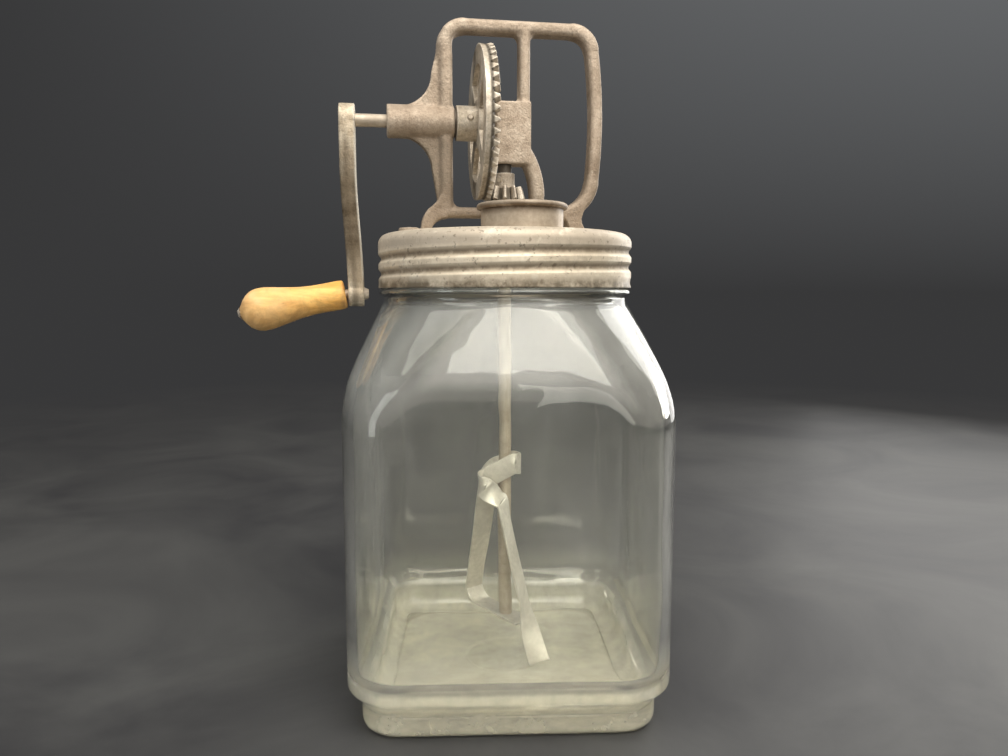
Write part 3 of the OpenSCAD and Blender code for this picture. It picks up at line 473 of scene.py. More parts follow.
def grip_wood(name):
    """Worn varnish; the grain runs along the grip, which lies close to X in the row frame."""
    n = Nodes(name)
    turn = (0, -DROOP, -LID_ANGLE)
    fibre = n.noise(1.0, 6, 0.6, n.stretched((28, 330, 330), turn), 0.6)
    fine = n.noise(1.0, 5, 0.7, n.stretched((90, 1900, 1900), turn))
    wear = n.noise(55, 5, 0.6)
    colour = n.ramp(fibre, [(0.30, (0.60, 0.27, 0.05)), (0.48, (0.82, 0.42, 0.09)), (0.66, (0.92, 0.55, 0.165))])
    colour = n.mix(n.span(fine, 0.56, 0.72, 0.0, 0.45), colour, (0.33, 0.155, 0.045))
    x = n.xyz()[0]
    end = n.span(x, -0.086, -0.122, 0.0, 1.0)
    bare = n.math("MULTIPLY", end, n.span(wear, 0.35, 0.62, 0.3, 0.9))
    colour = n.mix(bare, colour, (0.74, 0.515, 0.265))
    hand = n.span(n.noise(70, 7, 0.72, distortion=0.8), 0.47, 0.64, 0.0, 0.6)
    colour = n.mix(hand, colour, (0.47, 0.25, 0.085))
    tips = n.math("MAXIMUM", n.span(x, -0.130, -0.1345, 0.0, 0.8), n.span(x, -0.0845, -0.0825, 0.0, 0.6))
    tips = n.math("MULTIPLY", tips, n.span(n.noise(200, 5, 0.7), 0.35, 0.6, 0.3, 1.0))
    colour = n.mix(tips, colour, (0.30, 0.165, 0.07))
    scuff = n.span(n.noise(300, 4, 0.6), 0.66, 0.74, 0.0, 0.55)
    colour = n.mix(scuff, colour, (0.20, 0.11, 0.05))
    rough = n.math("ADD", n.span(wear, 0.3, 0.7, 0.42, 0.56), n.math("MULTIPLY", bare, 0.12))
    normal = n.bump(n.math("MULTIPLY_ADD", fibre, 0.5, fine), 0.22, 0.00022)
    return n.out(Base_Color=colour, Roughness=rough, Normal=normal, Coat_Weight=0.06, Coat_Roughness=0.3)


def jar_glass(name):
    """Pressed glass with ripples, and a film that lets less light through where it is thick."""
    n = Nodes(name)
    wave = n.noise(26, 2, 0.4)
    smear = n.noise(18, 5, 0.65)
    rough = n.span(smear, 0.50, 0.75, 0.0, 0.04)
    normal = n.bump(wave, 0.12, 0.0012)
    # a film of old milk and dust: thick at the foot, most of all inside, and thin on the shoulder and in runs
    x, y, z = n.xyz()
    low = n.math("MULTIPLY", n.span(z, 0.010, 0.046, 1.0, 0.0), n.span(n.noise(60, 6, 0.7), 0.3, 0.7, 0.6, 1.0))
    # the root of the eighth powers is about the section's half width, which tells inside from outside
    eighth = [n.math("POWER", n.math("ABSOLUTE", c), 8.0) for c in (x, y)]
    within = n.span(n.math("POWER", n.math("ADD", *eighth), 0.125), 0.0690, 0.0702, 0.62, 0.30)
    high = n.math("MULTIPLY", n.span(z, 0.148, 0.176, 0.0, 1.0), n.span(z, 0.203, 0.208, 1.0, 0.0))
    high = n.math("MULTIPLY", high, n.span(n.noise(24, 6, 0.7), 0.35, 0.7, 0.2, 1.0))
    runs = n.span(n.noise(1.0, 6, 0.62, n.stretched((26, 26, 7)), 0.6), 0.46, 0.72, 0.0, 0.055)
    film = n.math("SUBTRACT", 0.982, n.math("MULTIPLY_ADD", low, within, n.math("MULTIPLY_ADD", high, 0.11, runs)))
    colour = n.mix(low, (0.950, 0.958, 0.905), (1.0, 0.955, 0.775))
    return n.out(Base_Color=colour, Roughness=rough, Normal=normal, Transmission_Weight=film, IOR=1.5)


def rubber(name):
    """Old matt rubber."""
    n = Nodes(name)
    grain = n.noise(700, 4, 0.6)
    colour = n.ramp(grain, [(0.3, (0.05, 0.04, 0.035)), (0.7, (0.11, 0.085, 0.07))])
    return n.out(Base_Color=colour, Roughness=n.span(grain, 0.3, 0.7, 0.85, 0.65), Normal=n.bump(grain, 0.2, 0.0003))


CAST = cast_metal("cast_tin", (0.28, 0.212, 0.148), (0.44, 0.35, 0.262), (0.60, 0.505, 0.395), metallic=0.35,
                  overlay=post_shade_and_oil, low_shade_and_dirt=(0.246, 0.290))
ARM = cast_metal("arm_tin", (0.30, 0.23, 0.15), (0.52, 0.43, 0.31), (0.76, 0.675, 0.53), 0.6, overlay=arm_painted_light_and_wear)
PINION = cast_metal("pinion_iron", (0.27, 0.22, 0.165), (0.48, 0.41, 0.325), (0.82, 0.75, 0.64), 0.6, 0.6,
                    overlay=pinion_gap_shade_and_grease)
GEAR = cast_metal("gear_iron", (0.24, 0.195, 0.145), (0.51, 0.44, 0.34), (0.84, 0.76, 0.64), 0.6, 0.5,
                  overlay=gear_gap_shade_and_grease)
LID = lid_metal("lid_tin")
COLLAR = sheet_metal("collar_tin", (0.28, 0.222, 0.162), (0.51, 0.43, 0.332), 0.4, (0.2445, 0.2474, 0.2484, 0.2502))
DASHER = sheet_metal("dasher_tin", (0.50, 0.475, 0.405), (0.79, 0.755, 0.675), 0.4)
RIVET = sheet_metal("rivet_tin", (0.34, 0.28, 0.21), (0.60, 0.525, 0.42), 0.5)
SHAFT_UP = drawn_steel("shaft_upright", (900, 900, 30), (0.40, 0.335, 0.25), (0.62, 0.545, 0.435),
                       shaded_oiled=(0.2665, 0.2690))
SHAFT_ACROSS = drawn_steel("shaft_across", (30, 900, 900), (0.40, 0.33, 0.25), (0.64, 0.56, 0.45))
WOOD = grip_wood("grip_maple")
GLASS_MAT = jar_glass("jar_glass")
RUBBER = rubber("gasket_rubber")
# the crank washer's near-black is painted shade in the gap between the boss and the gear's hub, with oil
SHADED_OILY = sheet_metal("shaded_oily_steel", SHADE_AND_OIL, (0.14, 0.112, 0.085), 0.5)


# Jar

PLAIN, THREADED, UNEVEN = range(3)
CORNER = (JAR_HALF - CORNER_R) * math.sqrt(2) + CORNER_R


def square_radius(theta, w, rho):
    """Distance from the axis to a square of half width w with corners of radius rho."""
    a, b = abs(math.cos(theta)), abs(math.sin(theta))
    rho = min(rho, w)
    c = w - rho
    r = w / max(a, b)
    if min(a, b) * r <= c:
        return r
    s = a + b
    return c * s + math.sqrt(max(0.0, c * c * s * s - 2 * c * c + rho * rho))


def wall_at(z, inset):
    """Half width and corner radius of the jar's section at a height above the plinth."""
    w = JAR_HALF - (JAR_HALF - NECK_R) / (NECK_Z - FACE_H) * softplus(z - FACE_H, 2.6)
    t = (z - SIDE_H) / (NECK_Z - SIDE_H)
    slope = mix(CORNER, NECK_R, t) + 4 * SHOULDER_BULGE * max(t, 0) * (1 - t)
    diag = softmin(CORNER, slope, 1.6)
    w, diag = w - inset, diag - inset
    rho = (w * math.sqrt(2) - diag) / (math.sqrt(2) - 1)
    return w, min(max(rho, 1.0), w)


def jar_rings():
    """Sections up the outside of the jar and down its inside: height, half width, corner radius and kind."""
    rings = []
    corner = CORNER_R - PLINTH_IN
    foot = JAR_HALF - PLINTH_IN
    # the underside with a shallow push-up, then the plinth and the cove
    for t in (0.02, 0.2, 0.45, 0.7, 0.86, 0.93):
        w = foot * t
        rings.append((PUSH_UP * (1 - smoothstep(0.74, 0.93, t)), w, w * mix(1.0, corner / foot * 1.2, t), PLAIN))
    for a in arc(-90, 0, 8):
        d = FOOT_EDGE * (1 - math.cos(a))
        rings.append((FOOT_EDGE + FOOT_EDGE * math.sin(a), foot - d, max(corner - d, LEAST_CORNER), PLAIN))
    rings += [(8.5, foot, corner, PLAIN), (PLINTH_H - 1, foot, corner, PLAIN)]
    for i in range(11):
        t = i / 10
        d = PLINTH_IN * (1 - ease(t))
        rings.append((PLINTH_H + COVE_H * t, JAR_HALF - d, CORNER_R - d, PLAIN))
    for z in np.concatenate([np.linspace(26, 146, 16), np.linspace(149, NECK_Z - 0.5, 46)]):
        rings.append((z, *wall_at(z, 0.0), PLAIN))
    # neck, bead, threaded finish and lip
    for z, r in ((203.6, 63.55), (204.8, 63.5), (206.0, 63.6)):
        rings.append((z, r, r, PLAIN))
    for a in arc(-80, 80, 8):
        r = BEAD_R + BEAD_ROUND * math.cos(a)
        rings.append((BEAD_Z + BEAD_ROUND * math.sin(a), r, r, PLAIN))
    for z in np.linspace(210.6, LIP_Z - 1.8, 30):
        rings.append((z, FINISH_R, FINISH_R, THREADED))
    for middle, angles in ((FINISH_R - LIP_ROUND, arc(0, 90, 6)), (MOUTH_R + LIP_ROUND, arc(90, 180, 6))):
        for a in angles:
            r = middle + LIP_ROUND * math.cos(a)
            rings.append((LIP_Z - LIP_ROUND + LIP_ROUND * math.sin(a), r, r, PLAIN))
    for z in (228, 220, 212, 206):
        rings.append((z, MOUTH_R, MOUTH_R, PLAIN))
    for z in np.concatenate([np.linspace(NECK_Z - 0.5, 149, 44), np.linspace(144, 36, 16)]):
        rings.append((z, *wall_at(z, GLASS), UNEVEN))
    # inside of the cove and the floor, with the round mark of the mould's plunger
    inner, inner_corner = JAR_HALF - GLASS, CORNER_R - GLASS
    cove_top, cove_drop = PLINTH_H + COVE_H + 9, COVE_H + 2
    for i in range(11):
        t = i / 10
        d = PLINTH_IN * ease(t)
        rings.append((cove_top - cove_drop * t, inner - d, inner_corner - d, UNEVEN))
    low, low_corner = inner - PLINTH_IN, inner_corner - PLINTH_IN
    for a in arc(0, 90, 9)[1:]:
        d = FLOOR_EDGE * (1 - math.cos(a))
        z = FLOOR + FLOOR_EDGE - FLOOR_EDGE * math.sin(a)
        rings.append((z, low - d, max(low_corner - d, LEAST_CORNER), UNEVEN))
    for t in (0.93, 0.84, 0.7, 0.55, 0.42, 0.335, 0.318, 0.305, 0.29, 0.2, 0.1, 0.02):
        w = low * t
        z = FLOOR + FLOOR_RISE * smoothstep(0.9, 0.2, t) - PLUNGER_MARK * smoothstep(0.32, 0.303, t)
        rings.append((z, w, w * mix(1.0, 0.3, smoothstep(0.35, 0.9, t)), PLAIN))
    return rings


def groove_centres(theta):
    """Heights of the lid's rolled groove at one direction: a right-handed helix, about three turns."""
    front = GROOVE_FRONT_Z + PITCH * ((math.degrees(theta) + 90) % 360) / 360
    return [front - PITCH * k for k in range(-1, 4)]


def thread_bump(z, theta, half, top, bottom, shift=0.0):
    """Height from 0 to 1 of a rounded helix at one place; it fades out at its top and bottom."""
    total = 0.0
    for zc in groove_centres(theta):
        zc += shift
        d = abs(z - zc) / half
        if d < 1:
            fade = smoothstep(top, top - 2.2, zc) * smoothstep(bottom, bottom + 2.0, zc)
            total = max(total, fade * (0.5 + 0.5 * math.cos(math.pi * d)) ** 0.8)
    return total


def build_jar():
    n = 288
    rings = jar_rings()
    verts = []
    for z, w, rho, kind in rings:
        for th in around(n):
            r = square_radius(th, w, rho)
            if kind == THREADED:
                r += THREAD_H * thread_bump(z, th, THREAD_HALF, top=232.5, bottom=213.5, shift=PITCH / 2)
            elif kind == UNEVEN:
                # pressed glass is a little uneven inside
                p = Vector((r * math.cos(th), r * math.sin(th), z))
                r += 0.35 * noise.noise(p / 34.0) + 0.12 * noise.noise(p / 11.0)
            verts.append((r * math.cos(th) * MM, r * math.sin(th) * MM, z * MM))
    faces = ring_faces(len(rings), n)
    below, inside = len(verts), len(verts) + 1
    verts += [(0, 0, PUSH_UP * MM), (0, 0, (FLOOR + FLOOR_RISE - PLUNGER_MARK) * MM)]
    last = (len(rings) - 1) * n
    for i in range(n):
        j = (i + 1) % n
        faces += [(below, j, i), (inside, last + i, last + j)]
    return new_object("jar_shell", verts, faces)


put(build_jar(), "jar", "jar_glass", "glass_jar", material=GLASS_MAT)


# Lid

def build_lid():
    n = 320
    edge_r, edge_z = LID_R - LID_EDGE, LID_TOP - LID_EDGE
    inner_edge = LID_EDGE - SHEET
    steps = np.linspace(edge_z, LID_Z + 0.4, 96)
    edge = arc(90, 0, 10)
    # each row is a radius, a height and whether the groove is rolled into it
    rows = [(edge_r + LID_EDGE * math.cos(a), edge_z + LID_EDGE * math.sin(a), False) for a in edge]
    rows += [(LID_R, z, True) for z in steps[1:]]
    # the cut edge is turned a little outwards
    rows += [(LID_R + 0.05, LID_Z + 0.15, False), (LID_R - 0.3, LID_Z, False), (LID_R - 0.75, LID_Z + 0.1, False)]
    rows += [(LID_R - SHEET, z, True) for z in steps[:0:-1]]
    rows += [(edge_r + inner_edge * math.cos(a), edge_z + inner_edge * math.sin(a), False) for a in reversed(edge)]
    verts = []
    for row_r, z, grooved in rows:
        for th in around(n):
            r = row_r
            if grooved:
                r -= GROOVE_D * thread_bump(z, th, GROOVE_HALF, top=232.6, bottom=212.4)
                r += 0.12 * smoothstep(LID_Z + 2.6, LID_Z + 0.5, z)
            verts.append(to_lid((r * math.cos(th), r * math.sin(th), z)))
    return new_object("lid_skirt", verts, ring_faces(len(rows), n))


def build_lid_top():
    """The flat of the lid, with its holes."""
    curve = bpy.data.curves.new("lid_top", "CURVE")
    curve.dimensions = "2D"
    curve.fill_mode = "BOTH"
    circles = [(0, 0, LID_R - LID_EDGE + 0.05, 256), (0, 0, SHAFT_HOLE_R, 96), (*STRAINER_AT, STRAINER_R, 96)]
    circles += [(u, 0, RIVET_R, 96) for u in RIVETS_AT]
    for cx, cy, r, points in circles:
        s = curve.splines.new("POLY")
        s.points.add(points - 1)
        s.use_cyclic_u = True
        for point, th in zip(s.points, around(points)):
            x, y, _ = to_lid((cx + r * math.cos(th), cy + r * math.sin(th), 0))
            point.co = (x, y, 0, 1)
    curve.extrude = SHEET / 2 * MM
    tmp = bpy.data.objects.new("lid_top_curve", curve)
    bpy.context.scene.collection.objects.link(tmp)
    bpy.context.view_layer.update()
    mesh = bpy.data.meshes.new_from_object(tmp.evaluated_get(bpy.context.evaluated_depsgraph_get()))
    bpy.data.objects.remove(tmp)
    mesh.transform(Matrix.Translation((0, 0, (LID_TOP - SHEET / 2) * MM)))
    obj = bpy.data.objects.new("lid_flat", mesh)
    bpy.context.scene.collection.objects.link(obj)
    return obj


put(build_lid(), "lid", "lid_metal", "screw_lid", material=LID)
put(build_lid_top(), "lid", "lid_metal", material=LID)


# Castings

def melt(obj, centre, radius, steps):
    """Smooth one place of a casting, given in the lid's own frame."""
    c = Vector(to_lid(centre))
    bm = bmesh.new()
    bm.from_mesh(obj.data)
    near = [v for v in bm.verts if (v.co - c).length < radius * MM]
    for _ in range(steps):
        bmesh.ops.smooth_vert(bm, verts=near, factor=0.5, use_axis_x=True, use_axis_y=True, use_axis_z=True)
    bm.to_mesh(obj.data)
    bm.free()


def thicken_pads(obj):
    """The pads under the rivets, a little thicker than the casting's plain solid."""
    for v in obj.data.vertices:
        u, _, z = from_lid(v.co)
        above = z - LID_TOP
        out = smoothstep(43.5, 46.5, -u) + smoothstep(43.0, 45.5, u)
        if above < 4:
            v.co.z += PAD_RISE * MM * out * smoothstep(0.8, 2.0, above)


def raise_ridge(obj):
    """A parting line down the arm's narrow front and back."""
    c, s = math.cos(LID_ANGLE), math.sin(LID_ANGLE)
    for v in obj.data.vertices:
        u, w, z = from_lid(v.co)
        middle = ARM_U + ARM_LEAN * smoothstep(0.25, 1.0, (CRANK_Z - z) / THROW)
        lift = RIDGE_H * max(0.0, 1 - abs(u - middle) / 4.0) * smoothstep(2.0, 5.2, abs(w))
        lift *= smoothstep(203, 216, z) * smoothstep(300, 288, z)
        step = math.copysign(lift, w) * MM
        v.co.x -= step * s
        v.co.y += step * c


casting = cast_copy("frame_casting", "gear_frame", voxel=0.55, smooth_steps=9)
put(casting, "lid", "cast_metal", "gear_frame", material=CAST)
# the web outside the left post runs out softly into the loop's corner
melt(casting, centre=(-34.5, 0, 332.5), radius=9.0, steps=40)
thicken_pads(casting)
arm = cast_copy("arm_casting", "crank_arm", voxel=0.5, smooth_steps=8)
put(arm, "crank", "cast_metal", "crank_arm", material=ARM)
raise_ridge(arm)
gear = cast_copy("gear_casting", "drive_gear", voxel=0.34, smooth_steps=2)
put(gear, "crank", "gear_metal", "drive_gear", material=GEAR)
pinion = cast_copy("pinion_casting", "pinion_gear", voxel=0.22, smooth_steps=3)
put(pinion, "dasher", "gear_metal", "pinion_gear", material=PINION)


# Grip

def turned_radii(keys, places):
    """Radii at the given places, on a smooth curve through pairs of place and radius that doesn't overshoot."""
    s, r = np.array(keys).T
    d = np.diff(r) / np.diff(s)
    m = np.zeros(len(s))
    m[1:-1] = np.where(d[:-1] * d[1:] > 0, 2 * d[:-1] * d[1:] / (d[:-1] + d[1:] + 1e-12), 0)
    m[-1] = d[-1]
    radii = []
    for x in places:
        k = min(max(int(np.searchsorted(s, x) - 1), 0), len(s) - 2)
        h = s[k + 1] - s[k]
        t = (x - s[k]) / h
        radii.append((1 + 2 * t) * (1 - t) ** 2 * r[k] + t * (1 - t) ** 2 * h * m[k] + ease(t) * r[k + 1]
                     + t * t * (t - 1) * h * m[k + 1])
    return radii


def build_grip():
    n = 96
    axis = Vector((-math.cos(DROOP), 0, -math.sin(DROOP)))
    up = Vector((-math.sin(DROOP), 0, math.cos(DROOP)))
    side = axis.cross(up)
    start = Vector(GRIP_AT) + axis * GRIP_GAP
    profile = [(GRIP_BORE_R, 0.0), (5.4, 0.0)]
    for a in arc(90, 0, 6):
        profile.append((5.85 + GRIP_END_ROUND * math.cos(a), GRIP_END_ROUND * (1 - math.sin(a))))
    keys = [(0, 7.2), (1.6, 7.3), (4, 7.42), (10, 7.28), (16, 7.35), (20, 7.6), (25, 8.2), (29, 8.9), (33, 9.65),
            (37, 10.4), (40.5, 10.86), (43, 10.85), (46, 10.2), (48.5, 8.8), (50.2, 7.2), (51.6, 5.3), (52.4, 4.0),
            (53, 3.4)]
    places = np.concatenate([np.linspace(1.6, 45, 46), np.linspace(45.5, 53, 18)])
    profile += zip(turned_radii(keys, places), places)
    profile += [(2.6, 52.95), (GRIP_BORE_R, 52.4)]
    verts = []
    for r, along in profile:
        for th in around(n):
            verts.append(to_lid(start + axis * along + (up * math.cos(th) + side * math.sin(th)) * r))
    faces = [tuple(reversed(f)) for f in ring_faces(len(profile), n)]
    # close the bore
    last = (len(profile) - 1) * n
    for i in range(n):
        j = (i + 1) % n
        faces.append((last + i, last + j, j, i))
    return new_object("grip_turned", verts, faces)


put(build_grip(), "grip", "grip_wood", "handle_grip", material=WOOD)


# Dasher

BLADE_WAY = (math.cos(BLADE_ANGLE), -math.sin(BLADE_ANGLE), 0.0)
BLADE_SIDE = (-BLADE_WAY[1], BLADE_WAY[0], 0.0)


def blend(a, b, t):
    return [mix(p, q, t) for p, q in zip(a, b)]


def blade_stations():
    """Points along the folded strip, each with the direction of its width: the CAD model's path."""
    way, side, level = BLADE_WAY, BLADE_SIDE, (0.0, 0.0, -1.0)
    foot_mid = CROSS_Z + STRIP_T / 2
    fold_r, reach, pin_r = SHAFT_D / 2 + STRIP_T / 2 + 0.02, 4.5, STRIP_T + 1.4
    start, rear, bend, foot_bend = BLADE_R - 14.0, BLADE_R - 10.0, 9.0, 8.0

    def along(k, z=0.0):
        return [way[0] * k, way[1] * k, foot_mid + z]

    knee = (-reach - 4, fold_r + 0.6, FOLD_Z + 4 - bend)
    rear_low = along(-(rear + foot_bend), 1.1 * foot_bend)
    pin = (-11.0, -fold_r - pin_r)
    out = (pin[0] + 1, pin[1] - pin_r, FOLD_Z - 6)
    front_top = (-1.5, out[1] + 0.5, FOLD_Z - 13)
    front_knee = along(rear)
    front_foot = (way[0] * BLADE_R, way[1] * BLADE_R, BLADE_FOOT_Z)
    front_low = blend(front_top, front_knee, 0.8)
    edge_on = (-0.45, -0.9, 0.0)
    st = [(along(k), side) for k in (start, 0.4 * start, -0.5 * rear)]
    for a in arc(0, 85, 5):
        st.append((along(-(rear + foot_bend * math.sin(a)), foot_bend * (1 - math.cos(a))), side))
    for i in range(1, 7):
        st.append((blend(rear_low, knee, i / 7), blend(side, (1, 0.1, 0), ease(i / 7))))
    for a in arc(0, 90, 4):
        p = [knee[0] + bend * (1 - math.cos(a)), knee[1], knee[2] + bend * math.sin(a)]
        st.append((p, (math.cos(a), 0, -math.sin(a))))
    for a in arc(90, -90, 8):
        y = fold_r * math.sin(a)
        st.append(([reach + fold_r * math.cos(a), y, FOLD_Z + 6 - 0.2 * (fold_r - abs(y))], level))
    for k in (0.35, 0.7):
        st.append(([mix(reach, pin[0], k), -fold_r, FOLD_Z + 6 - 7.5 * k], level))
    for a in arc(90, 270, 8):
        y = pin[1] + pin_r * math.sin(a)
        st.append(([pin[0] + pin_r * math.cos(a), y, FOLD_Z - 3.5 + 0.55 * (y - pin[1])], level))
    for i in range(5):
        st.append((blend(out, front_top, i / 4), blend(level, (-0.5, -1, -0.4), ease(i / 4))))
    for i in range(1, 8):
        st.append((blend(front_top, front_low, i / 7), blend((-0.5, -1, 0), edge_on, i / 7)))
    for i in range(1, 8):
        k = i / 7
        st.append((blend(blend(front_low, front_knee, k), blend(front_knee, front_foot, k), k),
                   blend(edge_on, (-1, 0.1, 0), ease(k))))
    return st


def smooth_path(points, parts):
    """Catmull-Rom points between the given ones."""
    p = np.array(points, float)
    full = np.vstack([2 * p[0] - p[1], p, 2 * p[-1] - p[-2]])
    out = []
    for i in range(len(p) - 1):
        a, b, c, d = full[i:i + 4]
        for k in range(parts):
            t = k / parts
            bent = (2 * a - 5 * b + 4 * c - d) * t * t + (3 * b - a - 3 * c + d) * t ** 3
            out.append(0.5 * (2 * b + (c - a) * t + bent))
    out.append(p[-1])
    return np.array(out)


def build_strip():
    both = smooth_path([[*p, *w] for p, w in blade_stations()], 5)
    pts, acr = both[:, :3], both[:, 3:]
    run = np.gradient(pts, axis=0)
    run /= np.linalg.norm(run, axis=1)[:, None]
    acr = acr - (acr * run).sum(1)[:, None] * run
    acr /= np.linalg.norm(acr, axis=1)[:, None]
    face = np.cross(run, acr)
    flat_w, flat_t = STRIP_W / 2 - STRIP_EDGE, STRIP_T / 2 - STRIP_EDGE
    outline = []
    for cx, cy, a0 in ((1, 1, 0), (-1, 1, 90), (-1, -1, 180), (1, -1, 270)):
        for a in arc(a0, a0 + 90, 3):
            outline.append((cx * flat_w + STRIP_EDGE * math.cos(a), cy * flat_t + STRIP_EDGE * math.sin(a)))
    # hand-bent, so each point of the outline is moved a little
    verts, m = [], len(outline)
    for i in range(len(pts)):
        wob = 0.12 * noise.noise(Vector(pts[i]) / 9.0)
        for u, v in outline:
            dent = 0.16 * noise.noise((Vector(pts[i]) + Vector(acr[i]) * u) / 6.0 + Vector((7, 3, 1)))
            verts.append(tuple((pts[i] + acr[i] * (u + wob) + face[i] * (v + dent)) * MM))
    faces = ring_faces(len(pts), m)
    faces.append(tuple(range(m - 1, -1, -1)))
    last = (len(pts) - 1) * m
    faces.append(tuple(last + i for i in range(m)))
    # the tongue through the front leg
    way, side = Vector(BLADE_WAY), Vector(BLADE_SIDE)
    mid_z = CROSS_Z + STRIP_T / 2
    at = len(verts)
    for su, sv in ((1, 1), (-1, 1), (-1, -1), (1, -1)):
        for along, shrink in ((14.2, 1.0), (19.6, 1.0), (20.0, 0.8)):
            p = way * along + side * su * TONGUE_W / 2 * shrink
            p.z = mid_z + sv * TONGUE_T / 2 * shrink
            verts.append(tuple(p * MM))
    for k in range(4):
        j = (k + 1) % 4
        for r0 in range(2):
            faces.append((at + 3 * k + r0, at + 3 * j + r0, at + 3 * j + r0 + 1, at + 3 * k + r0 + 1))
    faces.append(tuple(at + 3 * k + 2 for k in range(4)))
    faces.append(tuple(at + 3 * k for k in range(3, -1, -1)))
    obj = new_object("dasher_strip", verts, faces)
    bm = bmesh.new()
    bm.from_mesh(obj.data)
    bmesh.ops.recalc_face_normals(bm, faces=bm.faces)
    bm.to_mesh(obj.data)
    bm.free()
    return obj


put(build_strip(), "dasher", "bright_metal", "dasher_blade", material=DASHER)


# CAD pieces that keep their shape

for names, material in (
        (("strainer_collar",), COLLAR), (("strainer_mesh", "rivet_burrs", "frame_rivets", "foot_burr"), RIVET),
        (("dasher_shaft", "pinion_pin", "thrust_washer"), SHAFT_UP),
        (("crank_shaft", "handle_spindle"), SHAFT_ACROSS), (("gear_pin",), RIVET), (("crank_washer",), SHADED_OILY),
        (("lid_gasket",), RUBBER)):
    for name in names:
        mesh = cad[name].data
        mesh.materials.clear()
        mesh.materials.append(material)


# Stage

BACKDROP = (0.040, 0.040, 0.041)


def build_floor():
    sides, radii = 96, (0.3, 0.7, 1.4, 2.6, 4.0)
    verts = [(0, 0, 0)] + [(r * math.cos(th), r * math.sin(th), 0) for r in radii for th in around(sides)]
    faces = [(0, 1 + i, 1 + (i + 1) % sides) for i in range(sides)]
    faces += [tuple(1 + i for i in reversed(f)) for f in ring_faces(len(radii), sides)]
    obj = new_object("studio_floor", verts, faces, smooth=False)
    n = Nodes("dark_floor")
    tone = n.noise(5, 6, 0.6, distortion=0.8)
    n.out(Base_Color=n.ramp(tone, [(0.35, (0.026, 0.026, 0.028)), (0.7, (0.068, 0.068, 0.066))]), Roughness=0.6)
    # away from the churn the floor goes over into the backdrop's plain colour
    x, y, _ = n.xyz()
    away = n.span(n.hypot(x, y), 0.35, 1.5, 0.0, 1.0)
    path = n.add("ShaderNodeLightPath").outputs
    seen = n.math("MAXIMUM", path["Is Glossy Ray"], path["Is Transmission Ray"])
    seen = n.math("MAXIMUM", path["Is Camera Ray"], seen)
    far = n.add("ShaderNodeEmission", {"Color": (*BACKDROP, 1), "Strength": 1.0}).outputs[0]
    both = n.add("ShaderNodeMixShader", {0: n.math("MULTIPLY", away, seen), 1: n.shader.outputs[0], 2: far})
    n.feed(n.tree.nodes["Material Output"].inputs["Surface"], both.outputs[0])
    obj.data.materials.append(n.material)


def area(name, location, target, size, energy, colour, mirrored=True):
    """A lamp; one that isn't mirrored doesn't show as a bright square in metal and glass."""
    light = bpy.data.lights.new(name, "AREA")
    light.shape = "RECTANGLE"
    light.size, light.size_y = size
    light.energy = energy
    light.color = colour
    obj = bpy.data.objects.new(name, light)
    obj.location = location
    obj.rotation_euler = (Vector(target) - Vector(location)).to_track_quat("-Z", "Y").to_euler()
    obj.visible_glossy = mirrored
    bpy.context.scene.collection.objects.link(obj)


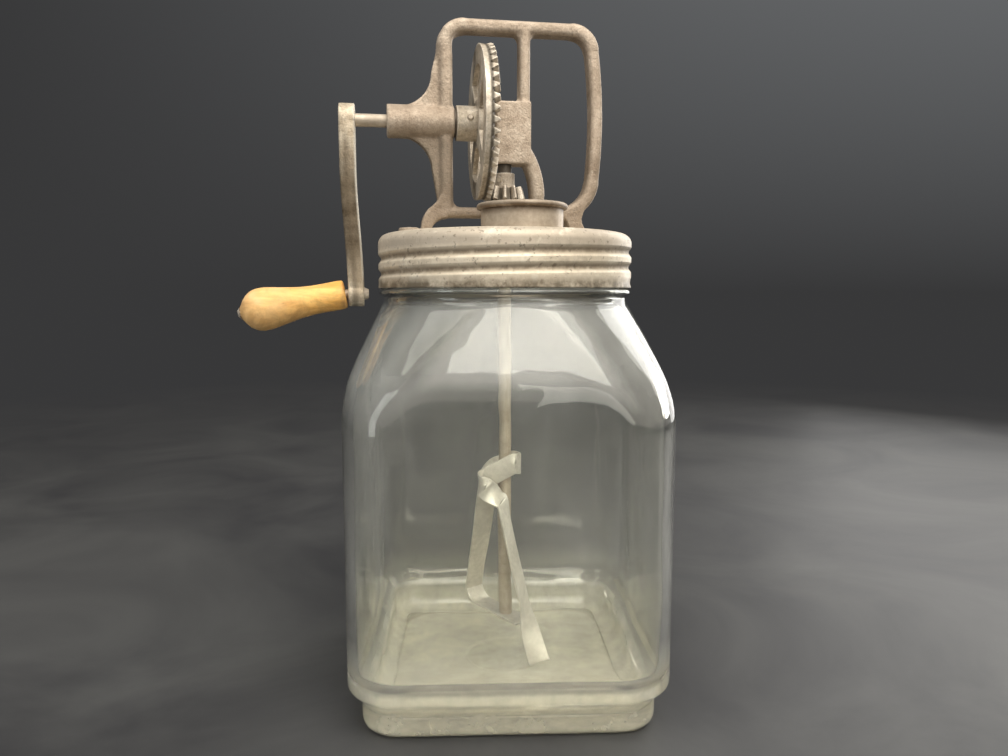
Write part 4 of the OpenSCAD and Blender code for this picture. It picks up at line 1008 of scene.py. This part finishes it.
def build_world():
    world = bpy.data.worlds.new("studio")
    bpy.context.scene.world = world
    world.use_nodes = True
    world.node_tree.nodes.clear()
    n = Tree(world.node_tree, "Generated")

    def towards(direction):
        return n.add("ShaderNodeVectorMath", {0: n.where(), 1: direction}, operation="DOT_PRODUCT").outputs["Value"]

    # the wall grows lighter upwards, and more so on the right
    x, _, z = n.xyz()
    slope = n.math("MULTIPLY", n.math("MULTIPLY_ADD", x, 1.5, 0.75), z)
    wall = n.ramp(slope, [(0.0, BACKDROP), (0.55, (0.14, 0.145, 0.15))])
    # glass and metal mirror a room that is lighter above and behind the camera
    room = n.span(towards((0.50, -0.62, 0.60)), -0.1, 0.85, 0.0, 1.0)
    mirrored = n.mix(room, wall, (0.80, 0.74, 0.65))
    # and a soft window high in front
    window = n.span(towards((0.22, -0.58, 0.785)), 0.68, 1.0, 0.0, 1.0, "SMOOTHSTEP")
    mirrored = n.mix(window, mirrored, (3.4, 3.2, 2.9))

    path = n.add("ShaderNodeLightPath").outputs
    ambient = n.add("ShaderNodeBackground", {"Color": (0.92, 0.95, 1.0, 1), "Strength": 0.13}).outputs[0]
    mirror = n.add("ShaderNodeBackground", {"Color": mirrored}).outputs[0]
    backdrop = n.add("ShaderNodeBackground", {"Color": wall}).outputs[0]
    either = n.math("MAXIMUM", path["Is Glossy Ray"], path["Is Transmission Ray"])
    unseen = n.add("ShaderNodeMixShader", {"Fac": either, 1: ambient, 2: mirror}).outputs[0]
    surface = n.add("ShaderNodeMixShader", {"Fac": path["Is Camera Ray"], 1: unseen, 2: backdrop}).outputs[0]
    n.add("ShaderNodeOutputWorld", {"Surface": surface})


build_floor()
area("key", (0.32, -0.85, 1.15), (0, 0, 0.22), (1.0, 0.7), 15.2, (1.0, 0.965, 0.915), mirrored=False)
area("fill", (-1.0, -0.60, 0.45), (0, 0, 0.2), (0.35, 0.9), 5.0, (0.97, 0.98, 1.0), mirrored=False)
area("front", (0.35, -1.10, 0.28), (0, 0, 0.15), (0.5, 0.45), 3.0, (1.0, 0.97, 0.92), mirrored=False)
area("top", (-0.05, -0.28, 1.20), (0, 0, 0.25), (1.8, 0.6), 12, (1.0, 0.98, 0.95), mirrored=False)
area("rim", (0.75, 0.65, 0.50), (0, 0, 0.15), (0.7, 0.9), 6.0, (1.0, 0.98, 0.95))
build_world()

# The camera as it was solved from the photo, whose width and focal length are in pixels.
SENSOR = 36.0
PHOTO_W, FOCAL, OFF_CENTRE = 1008, 765, 7
camera = bpy.data.cameras.new("camera")
camera.sensor_width = SENSOR
camera.lens = SENSOR * FOCAL / PHOTO_W
camera.shift_x = OFF_CENTRE / PHOTO_W
eye = bpy.data.objects.new("camera", camera)
eye.location = (-0.0189, -0.4085, 0.2084)
eye.rotation_euler = (math.radians(90 - 6.42), 0, math.radians(-2.09))
bpy.context.scene.collection.objects.link(eye)
bpy.context.scene.camera = eye
bpy.context.scene.view_settings.view_transform = "Standard"

bpy.context.view_layer.update()
